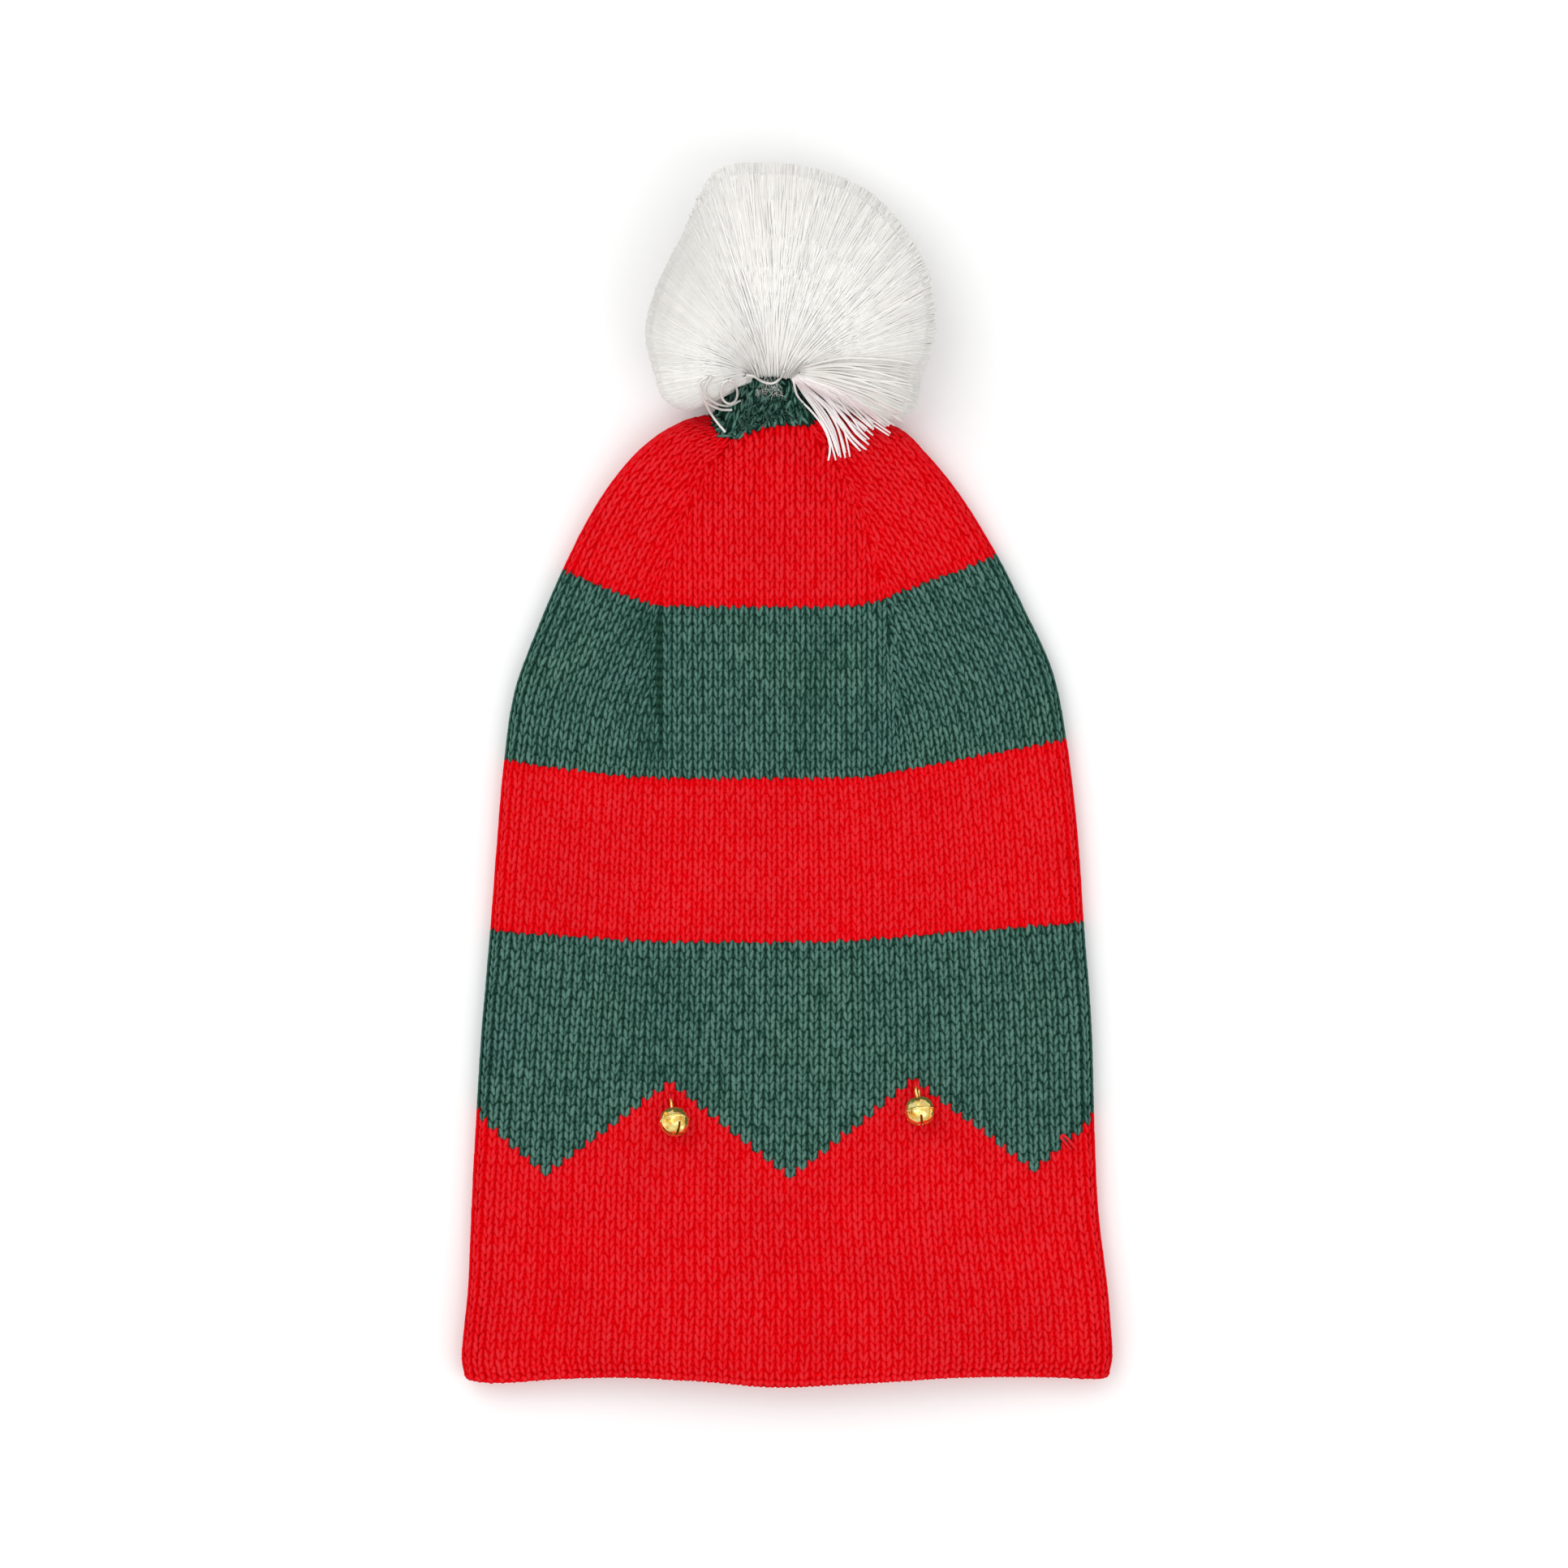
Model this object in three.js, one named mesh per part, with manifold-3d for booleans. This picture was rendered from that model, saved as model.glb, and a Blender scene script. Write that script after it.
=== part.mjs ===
import * as THREE from 'three';
import { mergeVertices } from 'three/addons/utils/BufferGeometryUtils.js';
import Module from 'manifold-3d';

// Knitted santa hat lying flat. Millimetres, +Z up, the mouth towards -Y, the pompom towards +Y.
const wasm = await Module();
wasm.setup();

// ---- driving sizes ------------------------------------------------------------------------------
const KNIT_WALL = 2.6;        // one layer of knit
const HEM_WALL = 4.8;         // hem turned to the inside, two layers
const HEM_DEPTH = 31;         // how far the turned hem reaches up inside
const HEM_STEP = 3;           // length over which the wall steps down above the hem
const CROWN_INSIDE_Y = 103;   // where the hollow ends under the gathered neck
const NECK_END_Y = 137.5;     // tip of the gathered neck, inside the pompom
const GAP = 0.4;              // clearance kept between the pieces
const BELL_D = 10;            // jingle bell, outside
const BELL_WALL = 0.5;
const BELL_SLOT = 1.0;        // width of the crossed slots
const LOOP_R = 1.2;           // bell loop, centre line
const LOOP_WIRE = 0.45;       // bell loop, wire radius
const LOOP_TURN = 62;         // bell loop, degrees it stands off the first slot
const LOOP_STRETCH = 1.6;     // bell loop, its height by its width

// ---- mesh density -------------------------------------------------------------------------------
const TOP_SEGMENTS = 26;      // across the upper layer
const FOLD_SEGMENTS = 6;      // around each side fold
const BASE_SEGMENTS = 10;     // across the lower layer
const OUTER_RINGS = 36;
const INNER_RINGS = 26;
const RIM_SEGMENTS = 4;

// Sections from mouth to neck. mid_y is the course at the middle; left and right are where the same
// course meets the two side folds; height is the whole thickness at the middle, fold_r the radius of
// the side folds, lift the height of the underside above the table.
const SECTIONS = [
  { mid_y: -204.0, left_x: -109.6, left_y: -201.0, right_x: 109.6, right_y: -200.8, height: 19.0, fold_r: 6.8, lift: 0 },
  { mid_y: -198.8, left_x: -110.5, left_y: -196.6, right_x: 110.5, right_y: -196.1, height: 19.2, fold_r: 6.8, lift: 0 },
  { mid_y: -187.8, left_x: -109.7, left_y: -186.7, right_x: 110.0, right_y: -186.2, height: 19.4, fold_r: 6.7, lift: 0 },
  { mid_y: -174.6, left_x: -108.4, left_y: -174.1, right_x: 108.9, right_y: -173.5, height: 19.4, fold_r: 6.4, lift: 0 },
  { mid_y: -149.3, left_x: -107.3, left_y: -148.2, right_x: 105.8, right_y: -147.1, height: 19.6, fold_r: 5.6, lift: 0 },
  { mid_y: -121.8, left_x: -105.9, left_y: -120.2, right_x: 104.5, right_y: -118.5, height: 20.0, fold_r: 5.3, lift: 0 },
  { mid_y: -88.8, left_x: -103.8, left_y: -86.1, right_x: 103.5, right_y: -83.9, height: 20.4, fold_r: 5.2, lift: 0 },
  { mid_y: -56.1, left_x: -100.9, left_y: -52.3, right_x: 100.9, right_y: -49.5, height: 20.8, fold_r: 5.2, lift: 0 },
  { mid_y: -28.3, left_x: -98.7, left_y: -23.4, right_x: 98.7, right_y: -18.4, height: 21.2, fold_r: 5.2, lift: 0 },
  { mid_y: -0.8, left_x: -96.2, left_y: 5.2, right_x: 95.0, right_y: 12.4, height: 21.8, fold_r: 5.2, lift: 0 },
  { mid_y: 21.2, left_x: -92.5, left_y: 29.4, right_x: 90.2, right_y: 36.0, height: 22.4, fold_r: 5.2, lift: 0 },
  { mid_y: 40.4, left_x: -84.7, left_y: 50.6, right_x: 80.7, right_y: 56.9, height: 23.0, fold_r: 5.3, lift: 0 },
  { mid_y: 57.2, left_x: -76.5, left_y: 69.9, right_x: 71.5, right_y: 75.1, height: 23.8, fold_r: 5.6, lift: 0 },
  { mid_y: 76.2, left_x: -66.3, left_y: 89.9, right_x: 59.4, right_y: 94.9, height: 23.6, fold_r: 6.5, lift: 0 },
  { mid_y: 92.7, left_x: -55.0, left_y: 105.9, right_x: 47.4, right_y: 109.7, height: 23.8, fold_r: 7.8, lift: 0 },
  { mid_y: 105.1, left_x: -43.5, left_y: 116.1, right_x: 37.5, right_y: 118.3, height: 24.0, fold_r: 9.0, lift: 0.3 },
  { mid_y: 114.7, left_x: -30.5, left_y: 122.6, right_x: 20.5, right_y: 123.5, height: 24.0, fold_r: 10.2, lift: 1.5 },
  { mid_y: 120.2, left_x: -25.4, left_y: 124.6, right_x: 12.0, right_y: 125.0, height: 23.6, fold_r: 10.6, lift: 3.0 },
  { mid_y: 127.1, left_x: -21.6, left_y: 128.6, right_x: 7.4, right_y: 129.0, height: 23.0, fold_r: 10.8, lift: 5.0 },
  { mid_y: 134.0, left_x: -18.6, left_y: 134.3, right_x: 4.8, right_y: 134.5, height: 22.4, fold_r: 10.6, lift: 7.0 },
];
// Share of the half width where a course bends up towards each side fold, and how soft the bend is.
const COURSE_BENDS = [
  { mid_y: -204.0, left: 0.36, right: 0.36 },
  { mid_y: -121.8, left: 0.42, right: 0.2 },
  { mid_y: -56.1, left: 0.46, right: 0.14 },
  { mid_y: -0.8, left: 0.52, right: 0.27 },
  { mid_y: 57.2, left: 0.58, right: 0.39 },
  { mid_y: 92.7, left: 0.5, right: 0.4 },
  { mid_y: 134.0, left: 0.4, right: 0.4 },
];
const BEND_SOFT = 0.07;

// The hem is not straight: how far its edge drops below the even line, and how soon that fades.
const HEM_WAVE = [
  { across: -1.0, drop: 1.5 },
  { across: -0.9, drop: 1.9 },
  { across: -0.7, drop: -0.4 },
  { across: -0.5, drop: -1.9 },
  { across: -0.28, drop: -1.4 },
  { across: -0.04, drop: 0.7 },
  { across: 0.2, drop: -0.4 },
  { across: 0.5, drop: -1.7 },
  { across: 0.8, drop: -0.4 },
  { across: 0.95, drop: 1.0 },
  { across: 1.0, drop: 1.2 },
];
const HEM_WAVE_FADE = 28;

// Soft dents and creases of the upper layer, each along a line on the table plane.
const FOLDS = [
  { name: 'left crown crease', from_x: -27.0, from_y: 113.0, to_x: -45.0, to_y: 58.0, half_width: 6.0, depth: 2.0 },
  { name: 'left stripe crease', from_x: -45.5, from_y: 66.0, to_x: -48.0, to_y: -6.0, half_width: 6.5, depth: 2.4 },
  { name: 'right crown crease', from_x: 17.0, from_y: 114.0, to_x: 34.0, to_y: 57.0, half_width: 6.5, depth: 1.5 },
  { name: 'middle stripe crease', from_x: 17.5, from_y: 54.0, to_x: 6.0, to_y: 20.0, half_width: 6.5, depth: 1.7 },
  { name: 'middle stripe tail', from_x: 6.5, from_y: 30.0, to_x: 5.0, to_y: -8.0, half_width: 6.0, depth: 1.2 },
  { name: 'neck pucker left', from_x: -22.0, from_y: 116.0, to_x: -26.0, to_y: 92.0, half_width: 3.2, depth: 1.4 },
  { name: 'neck pucker middle', from_x: -11.0, from_y: 117.0, to_x: -9.0, to_y: 92.0, half_width: 3.4, depth: 1.2 },
  { name: 'neck pucker right', from_x: 4.0, from_y: 117.0, to_x: 9.0, to_y: 92.0, half_width: 3.4, depth: 1.3 },
  { name: 'left green dent', from_x: -47.0, from_y: -60.0, to_x: -43.0, to_y: -108.0, half_width: 12.0, depth: 1.4 },
  { name: 'left hem dent', from_x: -80.0, from_y: -146.0, to_x: -80.0, to_y: -202.0, half_width: 10.0, depth: 1.5 },
  { name: 'middle hem dent', from_x: 4.0, from_y: -158.0, to_x: 4.0, to_y: -206.0, half_width: 10.0, depth: 1.0 },
];

// Plan outline of the pompom around its middle: direction in degrees from +X, distance in mm.
const POM = { x: 0.5, y: 166.4, z: 25, rise: 33, sink: 27 };
const POM_OUTLINE = [
  { angle: 0, reach: 48.1 }, { angle: 19, reach: 44.3 }, { angle: 37, reach: 41.8 }, { angle: 50, reach: 41.0 },
  { angle: 68, reach: 39.6 }, { angle: 85, reach: 39.8 }, { angle: 102, reach: 41.3 }, { angle: 121, reach: 45.0 },
  { angle: 134, reach: 42.2 }, { angle: 150, reach: 39.2 }, { angle: 167, reach: 40.5 }, { angle: 183, reach: 44.8 },
  { angle: 199, reach: 51.0 }, { angle: 213, reach: 54.2 }, { angle: 223, reach: 57.4 }, { angle: 233, reach: 53.5 },
  { angle: 246, reach: 37.0 }, { angle: 262, reach: 33.0 }, { angle: 278, reach: 35.5 }, { angle: 294, reach: 45.0 },
  { angle: 312, reach: 59.8 }, { angle: 325, reach: 55.0 }, { angle: 340, reach: 52.3 },
];
const POM_AROUND = 30, POM_UP = 14;
// Loose tuft over the right of the crown: middle, half sizes along, across and up, and its turns.
const TUFT = { x: 20, y: 120.5, z: 30.0, along: 18.5, across: 12, up: 5, turn: -52, dip: 11 };

// Bells: where each hangs on the front, and how its loop end is turned and raised.
const BELLS = [
  { name: 'bell_left', x: -38.0, y: -116.6, turn: 9, raise: -30, roll: 24 },
  { name: 'bell_right', x: 44.8, y: -113.0, turn: 7, raise: -16, roll: 4 },
];

// ---- helpers ------------------------------------------------------------------------------------
const clamp = (v, a, b) => Math.min(b, Math.max(a, v));
const smooth = (a, b, v) => { const s = clamp((v - a) / (b - a), 0, 1); return s * s * (3 - 2 * s); };

// Smooth value of one column of a table at a place along another column.
function along(table, key, column, at) {
  let i = 0;
  while (i < table.length - 2 && at > table[i + 1][key]) i += 1;
  const slope = (k) => {
    const a = table[Math.max(k - 1, 0)], b = table[Math.min(k + 1, table.length - 1)];
    return (b[column] - a[column]) / (b[key] - a[key]);
  };
  const p = table[i], q = table[i + 1], h = q[key] - p[key], s = (at - p[key]) / h;
  const s2 = s * s, s3 = s2 * s;
  return p[column] * (2 * s3 - 3 * s2 + 1) + slope(i) * h * (s3 - 2 * s2 + s)
    + q[column] * (3 * s2 - 2 * s3) + slope(i + 1) * h * (s3 - s2);
}

function section(midY) {
  const row = { mid_y: midY };
  for (const column of ['left_x', 'left_y', 'right_x', 'right_y', 'height', 'fold_r', 'lift']) {
    row[column] = along(SECTIONS, 'mid_y', column, midY);
  }
  row.lift = Math.max(0, row.lift);
  return row;
}

// Where a course lies along Y at a share -1..1 of the way across.
function courseY(row, across) {
  const edge = across < 0 ? row.left_y : row.right_y;
  const knee = along(COURSE_BENDS, 'mid_y', across < 0 ? 'left' : 'right', row.mid_y);
  const soft = (v) => (v + Math.hypot(v, BEND_SOFT)) / 2 - (Math.hypot(knee, BEND_SOFT) - knee) / 2;
  const bend = soft(Math.abs(across) - knee) / soft(1 - knee);
  const fade = clamp((row.mid_y - SECTIONS[0].mid_y) / HEM_WAVE_FADE, 0, 1);
  const drop = along(HEM_WAVE, 'across', 'drop', clamp(across, -1, 1)) * (1 - fade) ** 2;
  return row.mid_y + (edge - row.mid_y) * bend - drop;
}

// Depth of all dents at a point of the upper layer.
function dent(x, y) {
  let depth = 0;
  for (const f of FOLDS) {
    const dx = f.to_x - f.from_x, dy = f.to_y - f.from_y, len2 = dx * dx + dy * dy;
    const s = ((x - f.from_x) * dx + (y - f.from_y) * dy) / len2;
    const off = ((x - f.from_x) * dy - (y - f.from_y) * dx) / Math.sqrt(len2);
    const ends = smooth(-0.08, 0.22, s) * (1 - smooth(0.78, 1.08, s));
    depth += f.depth * Math.exp(-((off / f.half_width) ** 2)) * ends;
  }
  return depth;
}

// One closed ring of the tube: the upper layer from left to right, the right fold, the lower layer
// back to the left, the left fold. inset is how far the ring lies inside the outer face.
function ring(midY, inset, pull = 0) {
  const row = section(midY);
  const width = row.right_x - row.left_x;
  const r = row.fold_r - inset, lo = row.lift + inset, rise = row.height - 2 * row.fold_r;
  const left = row.left_x + inset, right = row.right_x - inset;
  const points = [];
  const place = (x, z) => {
    const across = clamp((2 * (x - row.left_x)) / width - 1, -1, 1);
    points.push(new THREE.Vector3(x, courseY(row, across) - pull, z));
  };
  for (let i = 0; i < TOP_SEGMENTS; i += 1) {
    const t = (2 * i) / TOP_SEGMENTS - 1;
    const x = THREE.MathUtils.lerp(left + r, right - r, i / TOP_SEGMENTS);
    const across = clamp((2 * (x - row.left_x)) / width - 1, -1, 1);
    const bulge = rise * (1 - Math.abs(t) ** 3) ** 2;
    const dip = dent(x, courseY(row, across)) * (1 - t ** 8);
    place(x, lo + 2 * r + bulge - dip);
  }
  for (let i = 0; i < FOLD_SEGMENTS; i += 1) {
    const a = Math.PI / 2 - (Math.PI * i) / FOLD_SEGMENTS;
    place(right - r + r * Math.cos(a), lo + r + r * Math.sin(a));
  }
  for (let i = 0; i < BASE_SEGMENTS; i += 1) {
    place(THREE.MathUtils.lerp(right - r, left + r, i / BASE_SEGMENTS), lo);
  }
  for (let i = 0; i < FOLD_SEGMENTS; i += 1) {
    const a = -Math.PI / 2 - (Math.PI * i) / FOLD_SEGMENTS;
    place(left + r + r * Math.cos(a), lo + r + r * Math.sin(a));
  }
  return points;
}

const middle = (points) => points.reduce((sum, p) => sum.add(p), new THREE.Vector3()).divideScalar(points.length);

// Closed body from a list of rings and two end points.
function loft(rings, first, last) {
  const n = rings[0].length, position = [], index = [];
  for (const points of rings) for (const p of points) position.push(p.x, p.y, p.z);
  const start = position.length / 3;
  position.push(first.x, first.y, first.z, last.x, last.y, last.z);
  for (let k = 0; k < rings.length - 1; k += 1) {
    for (let i = 0; i < n; i += 1) {
      const a = k * n + i, b = k * n + ((i + 1) % n), c = a + n, d = b + n;
      index.push(a, b, d, a, d, c);
    }
  }
  const end = (rings.length - 1) * n;
  for (let i = 0; i < n; i += 1) {
    const j = (i + 1) % n;
    index.push(start, j, i, start + 1, end + i, end + j);
  }
  const geometry = new THREE.BufferGeometry();
  geometry.setAttribute('position', new THREE.Float32BufferAttribute(position, 3));
  geometry.setIndex(index);
  return geometry;
}

// A ring drawn in towards its middle, for the rounded end of the neck or of the hollow.
function drawnIn(points, share, forward) {
  const m = middle(points);
  return points.map((p) => m.clone().lerp(p, share).add(new THREE.Vector3(0, forward, 0)));
}

const spread = (from, to, count, bias = 1) => Array.from({ length: count }, (_, i) => from + (to - from) * (i / (count - 1)) ** bias);
const MOUTH_Y = SECTIONS[0].mid_y, TIE_Y = SECTIONS[SECTIONS.length - 1].mid_y;
const wall = (midY) => HEM_WALL - (HEM_WALL - KNIT_WALL) * smooth(HEM_DEPTH - HEM_STEP, HEM_DEPTH, midY - MOUTH_Y);

// Courses where the outer rings lie: closer together at the hem edge and at the neck.
const outerCourses = () => {
  const body = spread(MOUTH_Y, 96, OUTER_RINGS - 9).map((y, i, all) => y - 3 * Math.sin(Math.PI * i / (all.length - 1)));
  return [...body, ...spread(100, TIE_Y, 9)];
};

function outerEnd(inset) {
  const tie = ring(TIE_Y, inset), reach = NECK_END_Y - TIE_Y - inset;
  return [drawnIn(tie, 0.86, reach * 0.5), drawnIn(tie, 0.55, reach * 0.85), drawnIn(tie, 0.25, reach * 0.97)];
}

// ---- the knitted shell --------------------------------------------------------------------------
function knitShell() {
  const outer = outerCourses().map((y) => ring(y, 0));
  const cap = outerEnd(0);
  const outerTip = middle(cap[2]).add(new THREE.Vector3(0, 0.2, 0));
  const rim = [];
  for (let i = RIM_SEGMENTS - 1; i >= 1; i -= 1) {
    const a = (Math.PI * i) / RIM_SEGMENTS;
    rim.push(ring(MOUTH_Y, (HEM_WALL / 2) * (1 - Math.cos(a)), (HEM_WALL / 2) * Math.sin(a)));
  }
  const hemTop = MOUTH_Y + HEM_DEPTH;
  const hem = spread(MOUTH_Y, hemTop - HEM_STEP, 5);
  const inside = spread(hemTop, CROWN_INSIDE_Y - 9, INNER_RINGS - 8);
  const inner = [...hem, ...inside].map((y) => ring(y, wall(y)));
  const last = inner[inner.length - 1];
  const dome = [drawnIn(last, 0.86, 3.5), drawnIn(last, 0.55, 6.5), drawnIn(last, 0.25, 8.2)];
  const innerTip = middle(dome[2]).add(new THREE.Vector3(0, 0.4, 0));
  const rings = [...dome.reverse(), ...inner.reverse(), ...rim, ...outer, ...cap];
  return loft(rings, innerTip, outerTip);
}

// ---- solids cut and joined ----------------------------------------------------------------------
function toManifold(geometry) {
  const g = geometry.clone();
  g.deleteAttribute('normal');
  g.deleteAttribute('uv');
  const merged = mergeVertices(g, 1e-4);
  return new wasm.Manifold(new wasm.Mesh({
    numProp: 3,
    vertProperties: new Float32Array(merged.attributes.position.array),
    triVerts: new Uint32Array(merged.index.array),
  }));
}

function toGeometry(solid) {
  const mesh = solid.getMesh();
  const geometry = new THREE.BufferGeometry();
  geometry.setAttribute('position', new THREE.Float32BufferAttribute(mesh.vertProperties, 3));
  geometry.setIndex(new THREE.BufferAttribute(new Uint32Array(mesh.triVerts), 1));
  return geometry;
}

// The shell's outer form without its hollow, grown by the gap, from the crown to the neck end.
function crownForm() {
  const grow = -GAP;
  const rings = spread(60, TIE_Y, 20).map((y) => ring(y, grow));
  const cap = outerEnd(grow);
  const tip = middle(cap[2]).add(new THREE.Vector3(0, 0.5, 0));
  return toManifold(loft([...rings, ...cap], middle(rings[0]), tip));
}

// ---- the pompom ---------------------------------------------------------------------------------
function pomReach(angle) {
  const wrapped = [...POM_OUTLINE, { angle: 360, reach: POM_OUTLINE[0].reach }];
  return along(wrapped, 'angle', 'reach', ((angle % 360) + 360) % 360);
}

function pompom() {
  const rings = [];
  for (let k = 1; k < POM_UP; k += 1) {
    const up = -Math.PI / 2 + (Math.PI * k) / POM_UP;
    const points = [];
    for (let i = 0; i < POM_AROUND; i += 1) {
      const angle = (360 * i) / POM_AROUND, a = THREE.MathUtils.degToRad(angle);
      const reach = pomReach(angle) * Math.cos(up) ** 0.8;
      const z = POM.z + (up > 0 ? POM.rise : POM.sink) * Math.sin(up);
      points.push(new THREE.Vector3(POM.x + reach * Math.cos(a), POM.y + reach * Math.sin(a), Math.max(0, z)));
    }
    rings.push(points);
  }
  const foot = middle(rings[0]).setZ(0), top = middle(rings[rings.length - 1]).setZ(POM.z + POM.rise);
  const ball = toManifold(loft(rings, foot, top));
  const lobe = new THREE.SphereGeometry(1, 16, 8);
  lobe.scale(TUFT.along, TUFT.across, TUFT.up);
  lobe.rotateY(THREE.MathUtils.degToRad(TUFT.dip));
  lobe.rotateZ(THREE.MathUtils.degToRad(TUFT.turn));
  lobe.translate(TUFT.x, TUFT.y, TUFT.z);
  const form = ball.add(toManifold(lobe)).subtract(crownForm());
  const parts = form.decompose().sort((a, b) => b.volume() - a.volume());
  return toGeometry(parts[0]);
}

// ---- the bells ----------------------------------------------------------------------------------
// Height of the upper layer at a point.
function topZ(x, y) {
  let low = MOUTH_Y, high = TIE_Y;
  const acrossAt = (row) => clamp((2 * (x - row.left_x)) / (row.right_x - row.left_x) - 1, -1, 1);
  for (let i = 0; i < 40; i += 1) {
    const mid = (low + high) / 2, row = section(mid);
    if (courseY(row, acrossAt(row)) < y) low = mid; else high = mid;
  }
  const row = section(low), r = row.fold_r;
  const t = clamp((x - row.left_x - r) / (row.right_x - row.left_x - 2 * r) * 2 - 1, -1, 1);
  return row.lift + 2 * r + (row.height - 2 * r) * (1 - Math.abs(t) ** 3) ** 2 - dent(x, y) * (1 - t ** 8);
}

function bell(place) {
  const R = BELL_D / 2;
  const outside = new THREE.SphereGeometry(R, 20, 12), inside = new THREE.SphereGeometry(R - BELL_WALL, 20, 12);
  for (const g of [outside, inside]) g.rotateX(Math.PI / 2);
  const slot = (turn) => {
    const g = new THREE.BoxGeometry(BELL_SLOT, BELL_D * 0.86, R);
    g.translate(0, 0, -R * 0.62 - R / 2 + 1.6);
    g.rotateZ(turn);
    return toManifold(g);
  };
  const loop = new THREE.TorusGeometry(LOOP_R, LOOP_WIRE, 6, 14);
  loop.rotateX(Math.PI / 2);
  loop.rotateZ(THREE.MathUtils.degToRad(LOOP_TURN));
  loop.scale(1, 1, LOOP_STRETCH);
  loop.translate(0, 0, R + LOOP_STRETCH * LOOP_R - 0.1);
  const cup = toManifold(outside).subtract(toManifold(inside)).subtract(slot(0)).subtract(slot(Math.PI / 2));
  const geometry = toGeometry(cup.add(toManifold(loop).subtract(toManifold(inside))));
  const rad = THREE.MathUtils.degToRad;
  geometry.rotateZ(rad(place.roll));
  geometry.rotateX(-Math.PI / 2 + rad(place.raise));
  geometry.rotateZ(rad(place.turn));
  geometry.translate(place.x, place.y, topZ(place.x, place.y) + R + GAP);
  return geometry;
}

// ---- the hat ------------------------------------------------------------------------------------
const part = new THREE.Group();
function add(name, geometry, color, roughness, metalness) {
  geometry.computeVertexNormals();
  const mesh = new THREE.Mesh(geometry, new THREE.MeshStandardMaterial({ color, roughness, metalness }));
  mesh.name = name;
  part.add(mesh);
}
add('knit_shell', knitShell(), 0xd8141c, 0.95, 0);
add('pompom', pompom(), 0xf0eeea, 0.9, 0);
for (const place of BELLS) add(place.name, bell(place), 0xd9a521, 0.22, 1);

// The origin is the middle of the underside of the whole hat.
const box = new THREE.Box3().setFromObject(part);
const origin = box.getCenter(new THREE.Vector3()).setZ(box.min.z);
for (const mesh of part.children) mesh.geometry.translate(-origin.x, -origin.y, -origin.z);

export default part;
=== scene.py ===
import math

import bmesh
import bpy
import numpy as np
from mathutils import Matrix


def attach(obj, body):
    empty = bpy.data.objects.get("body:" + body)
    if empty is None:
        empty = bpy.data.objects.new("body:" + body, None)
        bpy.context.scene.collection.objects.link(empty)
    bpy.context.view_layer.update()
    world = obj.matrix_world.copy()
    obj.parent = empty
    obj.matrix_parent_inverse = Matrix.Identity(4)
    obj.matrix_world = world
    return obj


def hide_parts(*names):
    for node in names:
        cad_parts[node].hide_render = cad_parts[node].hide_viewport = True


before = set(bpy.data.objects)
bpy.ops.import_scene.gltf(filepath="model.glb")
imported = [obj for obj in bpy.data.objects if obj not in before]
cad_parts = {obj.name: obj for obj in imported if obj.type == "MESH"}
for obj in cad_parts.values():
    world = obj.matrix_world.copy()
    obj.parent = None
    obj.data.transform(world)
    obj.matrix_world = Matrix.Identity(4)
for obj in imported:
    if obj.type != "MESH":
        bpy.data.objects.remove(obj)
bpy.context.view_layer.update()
rng = np.random.default_rng(2412)

# All shapes are worked out in millimetres in the hat's frame and written in metres.
MM = 0.001
SHIFT = np.array((-0.085, 0.12, 0.0))
BAKE_MAP = "OFBake"

# ---------------------------------------------------------------------------------------------
# Sizes and tables
# ---------------------------------------------------------------------------------------------
KNIT_WALL, HEM_WALL, HEM_DEPTH, HEM_STEP = 2.6, 4.8, 31.0, 3.0
NECK_END_Y, CROWN_INSIDE_Y = 137.5, 103.0
YARN_R = 0.96  # half the thickness of the yarn
SKIN = 1.0  # how far the cloth under the stitches lies inside the outer face

SECTION_COLUMNS = ("mid_y", "left_x", "left_y", "right_x", "right_y", "height", "fold_r", "lift")
SECTIONS = np.array(
    [
        (-204.0, -109.6, -201.0, 109.6, -200.8, 19.0, 6.8, 0),
        (-198.8, -110.5, -196.6, 110.5, -196.1, 19.2, 6.8, 0),
        (-187.8, -109.7, -186.7, 110.0, -186.2, 19.4, 6.7, 0),
        (-174.6, -108.4, -174.1, 108.9, -173.5, 19.4, 6.4, 0),
        (-149.3, -107.3, -148.2, 105.8, -147.1, 19.6, 5.6, 0),
        (-121.8, -105.9, -120.2, 104.5, -118.5, 20.0, 5.3, 0),
        (-88.8, -103.8, -86.1, 103.5, -83.9, 20.4, 5.2, 0),
        (-56.1, -100.9, -52.3, 100.9, -49.5, 20.8, 5.2, 0),
        (-28.3, -98.7, -23.4, 98.7, -18.4, 21.2, 5.2, 0),
        (-0.8, -96.2, 5.2, 95.0, 12.4, 21.8, 5.2, 0),
        (21.2, -92.5, 29.4, 90.2, 36.0, 22.4, 5.2, 0),
        (40.4, -84.7, 50.6, 80.7, 56.9, 23.0, 5.3, 0),
        (57.2, -76.5, 69.9, 71.5, 75.1, 23.8, 5.6, 0),
        (76.2, -66.3, 89.9, 59.4, 94.9, 23.6, 6.5, 0),
        (92.7, -55.0, 105.9, 47.4, 109.7, 23.8, 7.8, 0),
        (105.1, -43.5, 116.1, 37.5, 118.3, 24.0, 9.0, 0.3),
        (114.7, -30.5, 122.6, 20.5, 123.5, 24.0, 10.2, 1.5),
        (120.2, -25.4, 124.6, 12.0, 125.0, 23.6, 10.6, 3.0),
        (127.1, -21.6, 128.6, 7.4, 129.0, 23.0, 10.8, 5.0),
        (134.0, -18.6, 134.3, 4.8, 134.5, 22.4, 10.6, 7.0),
    ]
)
MOUTH_Y, TIE_Y = SECTIONS[0, 0], SECTIONS[-1, 0]
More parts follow.
